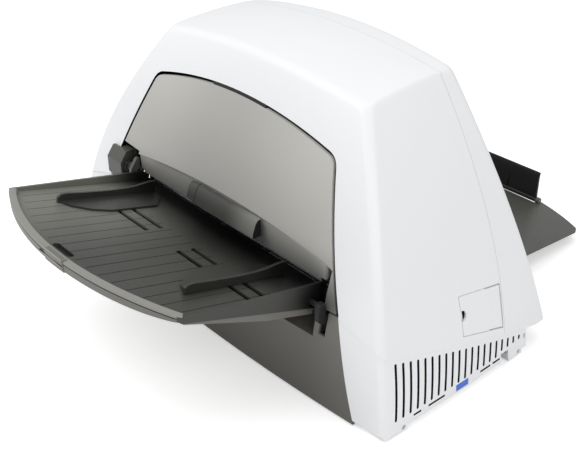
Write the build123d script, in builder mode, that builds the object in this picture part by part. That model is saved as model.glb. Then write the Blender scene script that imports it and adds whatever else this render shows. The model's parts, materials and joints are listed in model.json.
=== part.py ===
"""Sheet-fed document scanner with a raised input tray, an arched front cover and a rear output tray.

Frame: the origin lies on the floor under the middle of the object, X runs across the paper path,
-Y is the front with the input tray, +Y the rear with the output tray, +Z is up. Millimetres.
"""
from build123d import *
from math import atan, cos, degrees, pi, radians, sin
import os

os.makedirs("parts", exist_ok=True)

# Case: two flared shells over a base
CORNER_Z = 302.5
TOP_HALF_WIDTH = 165.2
FLARE, FLARE_CURVE = 0.709, 0.001026
FRONT_CORNER_Y, FRONT_LEAN, FRONT_CURVE = -84.0, 0.5295, 0.000853
REAR_CORNER_Y, REAR_LEAN, REAR_CURVE = 51.0, 0.09, 0.00038
FRONT_BULGE_TOP, FRONT_BULGE_FLOOR = 12.1, 14.7
REAR_BULGE, SIDE_BULGE = 8.0, 2.5
CORNER_RADIUS = 9.0
CASE_LEVELS = (-12.0, 45.0, 95.0, 150.0, 205.0, 260.0, 310.0, 345.0)
CROWN_HALF, CROWN_RISE = 165.0, 15.2
CROWN_PEAK_Y, CROWN_PEAK_Z, CROWN_RADIUS_Y = 8.0, 309.0, 640.0
TOP_EDGE_RADIUS = 6.0
WALL = 3.0
SEAM_Y, SEAM_GAP = 26.0, 0.5
SHELL_EDGE_Z, SHELL_EDGE_SLOPE, SHELL_EDGE_Y = 92.4, 0.274, -158.0
REAR_SKIRT_Z = 26.5
FRONT_SEAM_X, FRONT_SEAM_Z, FRONT_SEAM_SLOPE = 208.4, 112.0, 0.3185
EDGE_GAP = 0.6

# Base
BASE_INSET = 1.0
BASE_BOTTOM_Z, BASE_FOOT_Z = 7.0, 2.0
BASE_REAR_Y = 66.0
FLOOR_TOP_Z = 11.0
FRONT_FOOT_Y, REAR_FOOT_Y, FOOT_X = (-163.0, -131.0), (34.0, 58.0), 262.0
VENT_COUNT, VENT_PITCH, VENT_WIDTH = 21, 10.3, 3.2
VENT_FIRST_Y, VENT_BOTTOM_Z, VENT_LAND = -143.0, 18.0, 7.0
VENT_LEAN = 6.3
SLIT_Z, SLIT_HEIGHT = 13.6, 2.4
SLITS_Y = ((-121.0, -110.0), (-99.0, -74.0), (-16.0, 1.0), (5.0, 18.0))
PORT_Y, PORT_Z = (-56.0, -36.0), (8.0, 16.5)
NOTCH_Y, NOTCH_TOP_Z = (20.0, 33.0), 18.0
LUG_SCREW_X, LUG_SCREW_Y, LUG_SCREW_Z, LUG_SCREW_RADIUS = 275.0, (-135.5, 52.0), 6.2, 2.6
INLET_X, INLET_Z = (-246.0, -214.0), (12.0, 27.0)
DATA_X, DATA_Z = (206.0, 222.0), (14.0, 27.0)
SWITCH_X, SWITCH_Z = (-200.0, -188.0), 20.5

# Paper path, centred to the right of the case because the drive pod takes the left side
PATH_X = 14.0
PATH_Z, PATH_Y, PATH_SLOPE = 118.0, -138.0, 0.137
PATH_START_Y, PATH_END_Y = -130.0, 80.0
PATH_HALF = 164.0
PATH_GAP = 4.0
PLATE = 2.0

# Front cover
COVER_TOP_HALF, COVER_CORNER_Z, COVER_RISE = 152.1, 254.4, 21.5
COVER_FOOT_HALF, COVER_FOOT_Z = 206.4, 114.2
COVER_GAP = 2.5
COVER_WALL = 3.0
COVER_CORNER_RADIUS = 7.0
BREAK_Z, BREAK_RISE, BREAK_HALF = 158.0, 14.0, 165.5
FLANGE_X, FLANGE_Z, FLANGE_Y = (-151.0, 181.0), 134.5, -147.0
LEG_X = 190.0
HINGE_Y, HINGE_Z, KNUCKLE_RADIUS, HINGE_PIN_RADIUS = -104.5, 278.6, 2.2, 1.0
KNUCKLE_X = (22.0, 40.0)

# Release grip on the cover
LATCH_X, LATCH_Z, LATCH_FRONT_Y, LATCH_BACK_Y = (-36.0, 84.0), (148.0, 169.5), -165.0, -153.0
LATCH_PIN_Y, LATCH_PIN_Z, LATCH_PIN_RADIUS = -157.0, 165.0, 1.5
LATCH_EAR_X = (-8.0, 56.0)

# Input tray
TRAY_HALF = 164.0
TRAY_CORNER_Y, TRAY_CORNER_Z = -321.3, 172.2
TRAY_INNER_Y, TRAY_INNER_Z = -152.0, 136.0
TRAY_BACK_Y = -140.0
TRAY_ARC_RISE = 38.5
RIM_TIP_DROP, RIM_INNER_DROP = 4.0, 12.0
RIM_WIDTH = 3.0
SHEET = 2.6
SKIRT_TIP_Z, SKIRT_INNER_Z = 166.6, 105.4
COVER_LINE = ((-322.0, 163.6), (-220.4, 119.0), (-157.0, 98.0))
TRAY_HINGE_Y, TRAY_HINGE_Z, TRAY_PIN_RADIUS = -166.0, 119.5, 3.0
TAB_HALF, TAB_FRONT_Y = 24.0, -364.5
FINGER_X, FINGER_Y = 8.0, -343.0
EXTENDER_HALF, EXTENDER_REAR, EXTENDER_SHEET = 22.0, -242.0, 2.2
SLOT_X, SLOT_INNER, SLOT_OUTER, SLOT_WIDTH, SLOT_ROW = 18.0, 28.0, 147.0, 6.0, 9.5
RACK_TEETH, RACK_N = 31, (-6.4, -3.0)
PINION_Y, PINION_TEETH = -225.0, 16
PINION_RADIUS = PINION_TEETH / 2
GUIDE_WALL_X, GUIDE_CENTRE_X, GUIDE_THICKNESS, GUIDE_FOOT = 117.0, 13.0, 3.6, 38.0
GUIDE_TIP_Y, GUIDE_INNER_Y = -288.0, -163.0
GUIDE_HEIGHT, GUIDE_SWOOP = 15.0, 6.0
PART_GAP = 0.4
RUN_GAP = 0.05

# Elevator
ARM_X, ARM_THICKNESS = (-167.0, 189.0), 6.0
BAR_Y, BAR_Z = (-128.0, -118.0), (62.0, 72.0)
ROD_X, ROD_RADIUS = (-182.0, 204.0), 3.0
RACK_X, LIFT_GEAR_Y, LIFT_GEAR_Z, LIFT_TEETH = (-174.0, -168.5), -152.0, 136.0, 16
LIFT_TRAVEL = -14.0
THROAT_X, THROAT_Z = (-153.0, 181.0), 78.0
LIFT_RADIUS = LIFT_TEETH / 2

# Drive pod
POD_X, POD_RECESS_X = (-207.0, -152.5), (-176.5, -157.5)
POD_FRONT_Y, POD_Z = -163.0, (114.5, 160.0)

# Transport
FRAME_X, FRAME_THICKNESS, FRAME_TOP_Z = (-156.5, 182.0), 2.5, 190.0
SHAFT_RADIUS, BUSH_RADIUS = 4.0, 6.5
SHAFT_X = (-163.0, 188.4)
NIP = 0.5
FEED_Y, FRONT_Y, REAR_Y = -110.0, -72.0, 46.0
FEED_RADIUS, SEPARATION_RADIUS, DRIVE_RADIUS, PINCH_RADIUS = 14.0, 12.5, 9.0, 8.5
FEED_GEAR_RADIUS = 13.4
TIRE = 2.5
PULLEY_X, PULLEY_RADIUS, MOTOR_PULLEY_RADIUS = (-163.0, -158.0), 8.0, 5.0
MOTOR_Y, MOTOR_Z, MOTOR_RADIUS = -14.0, 172.0, 19.0

# Output tray
OUT_HALF = 171.0
OUT_HINGE_Y, OUT_HINGE_Z, OUT_PIN_RADIUS = 108.5, 53.0, 2.5
OUT_DECK_Y, OUT_DECK_Z, OUT_SLOPE = 199.0, 42.0, 0.209
OUT_BACK_Y, OUT_CORNER_Y, OUT_ARC_RISE = 101.0, 314.0, 52.0
OUT_SKIRT = ((101.0, 31.0), (213.0, 22.0), (314.0, 13.6))
STOP_HALF, STOP_Y, STOP_Z, STOP_HEIGHT = 81.0, 346.0, 15.0, 42.0

# Side door
DOOR_Y, DOOR_AXIS_Y = (-41.0, 23.0), 20.5
DOOR_TOP_Z, DOOR_TOP_SLOPE, DOOR_LAND = 112.2, 0.167, 8.5
DOOR_THICKNESS, DOOR_GAP, DOOR_PIN_RADIUS, DOOR_BEAD_RADIUS = 2.4, 0.8, 1.0, 2.2
DOOR_HEEL_RADIUS, DOOR_HEEL_RELIEF = 3.35, 0.4


def half_width(z):
    """Half width of the case at height z: a flare that eases off towards the floor."""
    rise = CORNER_Z - z
    return TOP_HALF_WIDTH + FLARE * rise - FLARE_CURVE * rise * rise


def front_y(z):
    """Y of the case's front corners at height z."""
    rise = CORNER_Z - z
    return FRONT_CORNER_Y - FRONT_LEAN * rise + FRONT_CURVE * rise * rise


def rear_y(z):
    """Y of the case's rear corners at height z."""
    rise = CORNER_Z - z
    return REAR_CORNER_Y + REAR_LEAN * rise + REAR_CURVE * rise * rise


def front_bulge(z):
    """How far the middle of the front stands proud of its corners at height z."""
    return FRONT_BULGE_FLOOR + (FRONT_BULGE_TOP - FRONT_BULGE_FLOOR) * z / CORNER_Z


def side_x(y, z):
    """X of the case's right side at y and z."""
    middle, half = (front_y(z) + rear_y(z)) / 2, (rear_y(z) - front_y(z)) / 2
    return half_width(z) + SIDE_BULGE * (1 - ((y - middle) / half) ** 2)


def shell_edge_z(y):
    """Height of the shells' lower edge, which slopes down to the rear."""
    return max(SHELL_EDGE_Z - SHELL_EDGE_SLOPE * (y - SHELL_EDGE_Y), REAR_SKIRT_Z)


def path_z(y):
    """Height of the paper path's lower guide."""
    return PATH_Z - PATH_SLOPE * (y - PATH_Y)


RIM_SLOPE = (TRAY_CORNER_Z - TRAY_INNER_Z) / (TRAY_INNER_Y - TRAY_CORNER_Y)
DECK_SLOPE = RIM_SLOPE + (RIM_INNER_DROP - RIM_TIP_DROP) / (TRAY_INNER_Y - TRAY_CORNER_Y)
SKIRT_SLOPE = (SKIRT_TIP_Z - SKIRT_INNER_Z) / (TRAY_INNER_Y - TRAY_CORNER_Y)


def rim_z(y):
    """Height of the input tray's rim."""
    return TRAY_INNER_Z + RIM_SLOPE * (TRAY_INNER_Y - y)


def deck_z(y):
    """Height of the input tray's deck."""
    return TRAY_INNER_Z - RIM_INNER_DROP + DECK_SLOPE * (TRAY_INNER_Y - y)


def skirt_z(y):
    """Height of the input tray deck part's lower edge."""
    if y < TRAY_CORNER_Y:
        return SKIRT_TIP_Z + RIM_SLOPE * (TRAY_CORNER_Y - y)
    return SKIRT_INNER_Z + SKIRT_SLOPE * (TRAY_INNER_Y - y)


def out_z(y):
    """Height of the output tray's deck."""
    return OUT_DECK_Z - OUT_SLOPE * (y - OUT_DECK_Y)


DECK_ANGLE = atan(DECK_SLOPE)
DECK_PLANE = Plane(origin=(0, PINION_Y, deck_z(PINION_Y)), x_dir=(1, 0, 0),
                   z_dir=(0, sin(DECK_ANGLE), cos(DECK_ANGLE)))
DOOR_LOW = Vector(side_x(DOOR_AXIS_Y, 48.0) - DOOR_BEAD_RADIUS - 0.2, DOOR_AXIS_Y, 48.0)
DOOR_HIGH = Vector(side_x(DOOR_AXIS_Y, 102.0) - DOOR_BEAD_RADIUS - 0.2, DOOR_AXIS_Y, 102.0)
DOOR_PLANE = Plane(origin=DOOR_LOW, z_dir=DOOR_HIGH - DOOR_LOW)
DOOR_LENGTH = (DOOR_HIGH - DOOR_LOW).length


def block(xs, ys, zs, mode=Mode.ADD):
    """Box between two X, two Y and two Z places."""
    with Locations((sum(xs) / 2, sum(ys) / 2, sum(zs) / 2)):
        Box(abs(xs[1] - xs[0]), abs(ys[1] - ys[0]), abs(zs[1] - zs[0]), mode=mode)


def deck_block(xs, ys, zs, mode=Mode.ADD):
    """Box in the input tray's deck plane: X, the way down the deck from the pinion, height above the deck."""
    with BuildSketch(DECK_PLANE.offset(zs[0])) as outline:
        with Locations((sum(xs) / 2, sum(ys) / 2)):
            Rectangle(abs(xs[1] - xs[0]), abs(ys[1] - ys[0]))
    extrude(outline.sketch, amount=zs[1] - zs[0], mode=mode)


def deck_rod(x, y, zs, radius, mode=Mode.ADD):
    """Round bar standing in the input tray's deck plane."""
    with BuildSketch(DECK_PLANE.offset(zs[0])) as outline:
        with Locations((x, y)):
            Circle(radius)
    extrude(outline.sketch, amount=zs[1] - zs[0], mode=mode)


def along_x(points, xs, mode=Mode.ADD):
    """Outline of (y, z) points carried between two X places."""
    with BuildSketch(Plane.YZ.offset(xs[0])) as outline:
        with BuildLine():
            Polyline(*points, close=True)
        make_face()
    extrude(outline.sketch, amount=xs[1] - xs[0], mode=mode)


def along_y(points, ys, mode=Mode.ADD):
    """Outline of (x, z) points carried between two Y places."""
    with BuildSketch(Plane.XZ.offset(-ys[0])) as outline:
        with BuildLine():
            Polyline(*points, close=True)
        make_face()
    extrude(outline.sketch, amount=ys[0] - ys[1], mode=mode)


def rod_x(xs, y, z, radius, mode=Mode.ADD):
    """Round bar along X."""
    with BuildSketch(Plane.YZ.offset(xs[0])) as outline:
        with Locations((y, z)):
            Circle(radius)
    extrude(outline.sketch, amount=xs[1] - xs[0], mode=mode)


def rod_y(x, ys, z, radius, mode=Mode.ADD):
    """Round bar along Y."""
    with BuildSketch(Plane.XZ.offset(-ys[0])) as outline:
        with Locations((x, z)):
            Circle(radius)
    extrude(outline.sketch, amount=ys[0] - ys[1], mode=mode)


def rod_z(x, y, zs, radius, mode=Mode.ADD):
    """Round bar along Z."""
    with BuildSketch(Plane.XY.offset(zs[0])) as outline:
        with Locations((x, y)):
            Circle(radius)
    extrude(outline.sketch, amount=zs[1] - zs[0], mode=mode)


def gear_points(teeth):
    """Outline of a spur gear of module one with straight-sided teeth, one tooth centred on the first axis."""
    root, tip = teeth / 2 - 1.1, teeth / 2 + 0.75
    points = []
    for index in range(teeth):
        for radius, shift in ((root, -0.30), (tip, -0.09), (tip, 0.09), (root, 0.30)):
            angle = 2 * pi * (index + shift) / teeth
            points.append((radius * cos(angle), radius * sin(angle)))
    return points


def rack_points(start, count, base, root, tip):
    """Outline of a rack of module one: (along, out) points from its back to its teeth."""
    points = [(start, base), (start, root)]
    for index in range(count):
        left = start + pi * index
        points += [(left + 0.55, root), (left + 1.28, tip), (left + 1.86, tip), (left + 2.59, root)]
    return points + [(start + pi * count, root), (start + pi * count, base)]


def write(piece, label):
    """Label a finished piece and write it."""
    piece.part.label = label
    export_step(piece.part, f"parts/{label}.step")


def case_body(inset):
    """The case's flared body without its top, drawn in by inset."""
    with BuildPart() as body:
        for level in CASE_LEVELS:
            across = half_width(level) - inset
            front, rear = front_y(level) + inset, rear_y(level) - inset
            middle = (front + rear) / 2
            with BuildSketch(Plane.XY.offset(level)):
                with BuildLine():
                    ThreePointArc((-across, front), (0, front - front_bulge(level)), (across, front))
                    ThreePointArc((across, front), (across + SIDE_BULGE, middle), (across, rear))
                    ThreePointArc((across, rear), (0, rear + REAR_BULGE), (-across, rear))
                    ThreePointArc((-across, rear), (-across - SIDE_BULGE, middle), (-across, front))
                make_face()
                fillet(vertices(), CORNER_RADIUS - inset)
        loft()
    return body.part


def case_solid(inset):
    """The case's whole outer form with its crowned top, drawn in by inset."""
    crown = (CROWN_HALF ** 2 + CROWN_RISE ** 2) / (2 * CROWN_RISE)
    axis_z = CROWN_PEAK_Z - CROWN_RADIUS_Y
    peak = CROWN_PEAK_Z + CROWN_RISE - inset
    reach = 340.0
    drop = crown - (crown ** 2 - reach ** 2) ** 0.5
    with BuildPart() as barrel:
        with BuildSketch(Plane.XZ.offset(-CROWN_PEAK_Y)):
            with BuildLine():
                ThreePointArc((-reach, peak - drop), (0, peak), (reach, peak - drop))
                Polyline((reach, peak - drop), (reach, axis_z), (-reach, axis_z), (-reach, peak - drop))
            make_face()
        revolve(axis=Axis((0, CROWN_PEAK_Y, axis_z), (1, 0, 0)), revolution_arc=360)
    with BuildPart() as case:
        add(case_body(inset))
        add(barrel.part, mode=Mode.INTERSECT)
        fillet(case.faces().sort_by(Axis.Z)[-1].edges(), TOP_EDGE_RADIUS - inset / 2)
    return case.part


def cover_outline(grow):
    """The cover's arch in front view, grown all round, as a sketch ahead of the case."""
    top, half = COVER_CORNER_Z + grow, COVER_TOP_HALF + grow * 0.8
    foot, low = COVER_FOOT_HALF + grow, COVER_FOOT_Z - 3 * grow
    with BuildSketch(Plane.XZ.offset(60.0)) as outline:
        with BuildLine():
            ThreePointArc((-half, top), (0, top + COVER_RISE), (half, top))
            Polyline((half, top), (foot, COVER_FOOT_Z), (foot, low - 0.01), (-foot, low - 0.01), (-foot, COVER_FOOT_Z),
                     (-half, top))
        make_face()
        fillet(vertices().group_by(Axis.Y)[-1], COVER_CORNER_RADIUS + grow)
    return outline.sketch


def tray_outline(inset, rise, back):
    """Plan of the input tray: straight sides and a bowed front, drawn in by inset, extruded upwards."""
    half, corner = TRAY_HALF - inset, TRAY_CORNER_Y + inset
    with BuildSketch(Plane.XY.offset(80.0)) as outline:
        with BuildLine():
            ThreePointArc((PATH_X - half, corner), (PATH_X, corner - TRAY_ARC_RISE), (PATH_X + half, corner))
            Polyline((PATH_X + half, corner), (PATH_X + half, back), (PATH_X - half, back),
                     (PATH_X - half, corner))
        make_face()
        fillet(vertices().group_by(Axis.Y)[1], max(9.0 - inset, 1.0))
    extrude(outline.sketch, amount=rise)


def out_outline(inset, back):
    """Plan of the output tray: straight sides and a bowed rear, extruded upwards."""
    half, corner = OUT_HALF - inset, OUT_CORNER_Y - inset
    with BuildSketch(Plane.XY) as outline:
        with BuildLine():
            ThreePointArc((PATH_X - half, corner), (PATH_X, corner + OUT_ARC_RISE), (PATH_X + half, corner))
            Polyline((PATH_X + half, corner), (PATH_X + half, back), (PATH_X - half, back),
                     (PATH_X - half, corner))
        make_face()
        fillet(vertices().group_by(Axis.Y)[-1], max(12.0 - inset, 1.0))
    extrude(outline.sketch, amount=90.0)


outer_case = case_solid(0)
inner_case = case_solid(WALL)
outer_body = case_body(BASE_INSET)
inner_body = case_body(BASE_INSET + WALL)
EDGE_POINTS = [(-230.0, shell_edge_z(-230.0)), (66.0, shell_edge_z(66.0)), (84.0, REAR_SKIRT_Z), (140.0, REAR_SKIRT_Z)]
SEAM_REACH, FRONT_SEAM_Y = 320.0, -152.0
SEAM_LOW_Z = FRONT_SEAM_Z - FRONT_SEAM_SLOPE * (SEAM_REACH - FRONT_SEAM_X)
PANEL_FOOT_X = 245.5

with BuildPart() as shell_pair:
    add(outer_case)
    add(inner_case, mode=Mode.SUBTRACT)
    along_x([*EDGE_POINTS, (140.0, -40.0), (-230.0, -40.0)], (-330.0, 330.0), mode=Mode.SUBTRACT)

with BuildPart(mode=Mode.PRIVATE) as door_heel:
    block((200.0, 320.0), (DOOR_AXIS_Y, 32.0), (30.0, 130.0))
    with BuildSketch(DOOR_PLANE.offset(-30.0)):
        Circle(DOOR_HEEL_RADIUS)
    extrude(amount=DOOR_LENGTH + 60.0, mode=Mode.SUBTRACT)

with BuildPart() as side_door:
    with BuildSketch(Plane.YZ.offset(200.0)):
        with BuildLine():
            y0, y1 = DOOR_Y
            Polyline((y0, DOOR_TOP_Z), (y1, DOOR_TOP_Z - DOOR_TOP_SLOPE * (y1 - y0)),
                     (y1, shell_edge_z(y1) + DOOR_LAND), (y0, shell_edge_z(y0) + DOOR_LAND), close=True)
        make_face()
        fillet(vertices(), 1.2)
    extrude(amount=120.0)
    door_prism = side_door.part
    add(outer_case, mode=Mode.INTERSECT)
    add(case_solid(DOOR_THICKNESS), mode=Mode.SUBTRACT)
    add(door_heel.part, mode=Mode.SUBTRACT)
    rod_x((200.0, 320.0), DOOR_Y[0] + 1.5, 90.5, 6.0, mode=Mode.SUBTRACT)
    with BuildSketch(DOOR_PLANE):
        Circle(DOOR_BEAD_RADIUS)
    extrude(amount=DOOR_LENGTH)
    along_x([(0.0, DOOR_TOP_Z - DOOR_TOP_SLOPE * 41.0 - 1.0), (40.0, DOOR_TOP_Z - DOOR_TOP_SLOPE * 81.0 - 1.0), (40.0, 140.0),
             (0.0, 140.0)], (240.0, 300.0), mode=Mode.SUBTRACT)
    along_x([(0.0, shell_edge_z(0.0) + DOOR_LAND + 1.0), (40.0, shell_edge_z(40.0) + DOOR_LAND + 1.0), (40.0, 20.0),
             (0.0, 20.0)], (240.0, 300.0), mode=Mode.SUBTRACT)
    with BuildSketch(DOOR_PLANE.offset(-4.0)):
        Circle(DOOR_PIN_RADIUS + RUN_GAP)
    extrude(amount=DOOR_LENGTH + 8.0, mode=Mode.SUBTRACT)
write(side_door, "side_door")

with BuildPart() as front_shell:
    add(shell_pair.part)
    block((-330.0, 330.0), (SEAM_Y - SEAM_GAP / 2, 160.0), (-20.0, 360.0), mode=Mode.SUBTRACT)
    along_y([(-SEAM_REACH, SEAM_LOW_Z), (-FRONT_SEAM_X, FRONT_SEAM_Z), (FRONT_SEAM_X, FRONT_SEAM_Z),
             (SEAM_REACH, SEAM_LOW_Z), (SEAM_REACH, -40.0), (-SEAM_REACH, -40.0)], (-240.0, FRONT_SEAM_Y),
            mode=Mode.SUBTRACT)
    extrude(cover_outline(COVER_GAP), amount=200.0, mode=Mode.SUBTRACT)
    for side in (-1, 1):
        x0, x1 = sorted((side * (KNUCKLE_X[0] - 4.0), side * (KNUCKLE_X[1] + 4.0)))
        block((x0, x1), (HINGE_Y - 3.5, HINGE_Y + 4.0), (276.0, 287.5))
        n0, n1 = sorted((side * (KNUCKLE_X[0] - 0.4), side * (KNUCKLE_X[1] + 0.4)))
        block((n0, n1), (HINGE_Y - 12.0, HINGE_Y + 6.0), (270.0, 282.0), mode=Mode.SUBTRACT)
        rod_x((x0, x1), HINGE_Y, HINGE_Z, HINGE_PIN_RADIUS, mode=Mode.SUBTRACT)
    y0, y1 = DOOR_Y[0] - DOOR_GAP, DOOR_Y[1] + DOOR_GAP + DOOR_HEEL_RELIEF
    top = DOOR_TOP_Z + DOOR_GAP + 0.13
    with BuildSketch(Plane.YZ.offset(200.0)):
        with BuildLine():
            Polyline((y0, top), (y1, top - DOOR_TOP_SLOPE * (y1 - y0)),
                     (y1, shell_edge_z(y1) + DOOR_LAND - DOOR_GAP), (y0, shell_edge_z(y0) + DOOR_LAND - DOOR_GAP),
                     close=True)
        make_face()
        fillet(vertices(), 1.2)
    extrude(amount=120.0, mode=Mode.SUBTRACT)
    with BuildSketch(DOOR_PLANE.offset(-2.5)):
        Circle(DOOR_PIN_RADIUS)
    extrude(amount=DOOR_LENGTH + 5.0, mode=Mode.SUBTRACT)
    block((-24.0, 24.0), (-114.0, -107.2), (270.0, 279.3), mode=Mode.SUBTRACT)
write(front_shell, "front_shell")

with BuildPart() as rear_shell:
    add(shell_pair.part)
    block((-330.0, 330.0), (-240.0, SEAM_Y + SEAM_GAP / 2), (-20.0, 360.0), mode=Mode.SUBTRACT)
    block((PATH_X - OUT_HALF - 3.0, PATH_X + OUT_HALF + 3.0), (75.0, 160.0), (10.0, 100.0), mode=Mode.SUBTRACT)
    for x0, x1 in ((PATH_X - OUT_HALF - 9.0, PATH_X - OUT_HALF - 1.0), (PATH_X + OUT_HALF + 1.0, PATH_X + OUT_HALF + 9.0)):
        along_x([(88.0, OUT_HINGE_Z - 8.0), (OUT_HINGE_Y + 1.0, OUT_HINGE_Z - 5.5), (OUT_HINGE_Y + 5.0, OUT_HINGE_Z - 2.0),
                 (OUT_HINGE_Y + 5.0, OUT_HINGE_Z + 2.0), (OUT_HINGE_Y + 1.0, OUT_HINGE_Z + 5.5),
                 (88.0, OUT_HINGE_Z + 8.0)], (x0, x1))
        rod_x((x0, x1), OUT_HINGE_Y, OUT_HINGE_Z, OUT_PIN_RADIUS, mode=Mode.SUBTRACT)
write(rear_shell, "rear_shell")

with BuildPart() as output_hinge_pins:
    rod_x((PATH_X - OUT_HALF - 8.5, PATH_X - OUT_HALF + 5.0), OUT_HINGE_Y, OUT_HINGE_Z, OUT_PIN_RADIUS)
    rod_x((PATH_X + OUT_HALF - 5.0, PATH_X + OUT_HALF + 8.5), OUT_HINGE_Y, OUT_HINGE_Z, OUT_PIN_RADIUS)
write(output_hinge_pins, "output_hinge_pins")



def panel_edge(z):
    """Half width of the dark front panel at height z."""
    return PANEL_FOOT_X - (z - BASE_FOOT_Z) * (PANEL_FOOT_X - FRONT_SEAM_X) / (FRONT_SEAM_Z - EDGE_GAP - BASE_FOOT_Z)


with BuildPart() as below_base:
    block((-330.0, 330.0), (-260.0, 160.0), (-40.0, BASE_FOOT_Z))
    block((-330.0, 330.0), (-260.0, FRONT_FOOT_Y[0]), (-40.0, BASE_BOTTOM_Z))
    block((-330.0, 330.0), (FRONT_FOOT_Y[1], REAR_FOOT_Y[0]), (-40.0, BASE_BOTTOM_Z))
    block((-330.0, 330.0), (REAR_FOOT_Y[1], 160.0), (-40.0, BASE_BOTTOM_Z))
    block((-FOOT_X, FOOT_X), (-260.0, 160.0), (-40.0, BASE_BOTTOM_Z))
    block((-330.0, 330.0), (BASE_REAR_Y, 160.0), (-40.0, 360.0))
    back = FRONT_SEAM_Y + EDGE_GAP
    along_x([(back, shell_edge_z(back) - EDGE_GAP)] + [(y, z - EDGE_GAP) for y, z in EDGE_POINTS[1:]] +
            [(140.0, 400.0), (back, 400.0)], (-330.0, 330.0))
    low = SEAM_LOW_Z - EDGE_GAP
    along_y([(-SEAM_REACH, low), (-FRONT_SEAM_X, FRONT_SEAM_Z - EDGE_GAP), (FRONT_SEAM_X, FRONT_SEAM_Z - EDGE_GAP),
             (SEAM_REACH, low), (SEAM_REACH, 400.0), (-SEAM_REACH, 400.0)], (-240.0, back))

with BuildPart() as base_hollow:
    add(inner_body)
    block((-330.0, 330.0), (-260.0, 160.0), (-40.0, FLOOR_TOP_Z), mode=Mode.SUBTRACT)
    block((-330.0, 330.0), (BASE_REAR_Y - WALL, 160.0), (-40.0, 360.0), mode=Mode.SUBTRACT)

with BuildPart() as panel_bay:
    add(case_body(0))
    add(case_body(BASE_INSET + WALL + 0.5), mode=Mode.SUBTRACT)
    with BuildSketch(Plane.XZ.offset(60.0)):
        with BuildLine():
            Polyline((-panel_edge(-20.0) - 0.5, -20.0), (-panel_edge(140.0) - 0.5, 140.0), (panel_edge(140.0) + 0.5, 140.0),
                     (panel_edge(-20.0) + 0.5, -20.0), close=True)
        make_face()
    extrude(amount=200.0, mode=Mode.INTERSECT)

with BuildPart() as base_openings:
    for index in range(VENT_COUNT):
        y = VENT_FIRST_Y + VENT_PITCH * index
        top = shell_edge_z(y) - VENT_LAND
        bottom = NOTCH_TOP_Z + 4.0 if NOTCH_Y[0] - 3.0 < y < REAR_FOOT_Y[1] else VENT_BOTTOM_Z
        if top - bottom > 4.0:
            for plane in (Plane.YZ.offset(240.0), Plane.YZ.offset(-330.0)):
                with BuildSketch(plane):
                    with Locations((y, (top + bottom) / 2)):
                        SlotCenterToCenter(top - bottom - VENT_WIDTH, VENT_WIDTH, rotation=90 - VENT_LEAN)
                extrude(amount=90.0)
    for side in (-1, 1):
        near, far = side * 262.0, side * 330.0
        for y0, y1 in SLITS_Y:
            block((near, far), (y0, y1), (SLIT_Z - SLIT_HEIGHT / 2, SLIT_Z + SLIT_HEIGHT / 2))
        block((near, far), NOTCH_Y, (-20.0, NOTCH_TOP_Z))
        for y in LUG_SCREW_Y:
            rod_x(sorted((side * LUG_SCREW_X, far)), y, LUG_SCREW_Z, LUG_SCREW_RADIUS)
    block((240.0, 330.0), PORT_Y, PORT_Z)
    block(INLET_X, (BASE_REAR_Y - 5.0, BASE_REAR_Y + 5.0), INLET_Z)
    block(DATA_X, (BASE_REAR_Y - 5.0, BASE_REAR_Y + 5.0), DATA_Z)
    block((SWITCH_X[0] - 0.4, SWITCH_X[1] + 0.4), (BASE_REAR_Y - 5.0, BASE_REAR_Y + 5.0), (SWITCH_Z - 5.6, SWITCH_Z + 5.6))
    rod_x((SWITCH_X[0] - 2.0, SWITCH_X[1] + 2.0), BASE_REAR_Y - 1.5, SWITCH_Z, 0.9 + RUN_GAP)

with BuildPart() as base_chassis:
    add(outer_body)
    add(below_base.part, mode=Mode.SUBTRACT)
    add(base_hollow.part, mode=Mode.SUBTRACT)
    add(panel_bay.part, mode=Mode.SUBTRACT)
    add(base_openings.part, mode=Mode.SUBTRACT)
write(base_chassis, "base_chassis")

with BuildPart() as port_insert:
    block((270.0, 330.0), (PORT_Y[0] + 0.3, PORT_Y[1] - 0.3), (PORT_Z[0] + 0.3, PORT_Z[1] - 0.3))
    add(case_body(BASE_INSET + 0.6), mode=Mode.INTERSECT)
write(port_insert, "port_insert")

with BuildPart() as front_base_panel:
    add(outer_body)
    add(inner_body, mode=Mode.SUBTRACT)
    with BuildSketch(Plane.XZ.offset(60.0)):
        with BuildLine():
            Polyline((-PANEL_FOOT_X, BASE_FOOT_Z), (-FRONT_SEAM_X, FRONT_SEAM_Z - EDGE_GAP),
                     (FRONT_SEAM_X, FRONT_SEAM_Z - EDGE_GAP), (PANEL_FOOT_X, BASE_FOOT_Z), close=True)
        make_face()
    extrude(amount=200.0, mode=Mode.INTERSECT)
    block(THROAT_X, (-260.0, -60.0), (THROAT_Z, 140.0), mode=Mode.SUBTRACT)
    for x in ARM_X:
        block((x - 1.5, x + ARM_THICKNESS + 1.5), (-260.0, -60.0), (84.0, 113.0), mode=Mode.SUBTRACT)
    pin_low = TRAY_HINGE_Z + LIFT_TRAVEL - TRAY_PIN_RADIUS - 1.0
    block((ARM_X[0] - 1.5, ARM_X[1] + ARM_THICKNESS + 1.5), (-260.0, -60.0), (pin_low, 140.0), mode=Mode.SUBTRACT)
write(front_base_panel, "front_base_panel")

with BuildPart() as throat_liner:
    floor_z = THROAT_Z - 0.5
    block(THROAT_X, (-190.0, -132.0), (floor_z - 2.0, floor_z))
    block(THROAT_X, (-134.0, -132.0), (floor_z - 2.0, 112.0))
    for x0 in (THROAT_X[0], THROAT_X[1] - 1.5):
        block((x0, x0 + 1.5), (-190.0, -132.0), (floor_z - 2.0, 97.0))
    add(case_body(BASE_INSET + WALL + 0.4), mode=Mode.INTERSECT)
write(throat_liner, "throat_liner")

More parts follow.
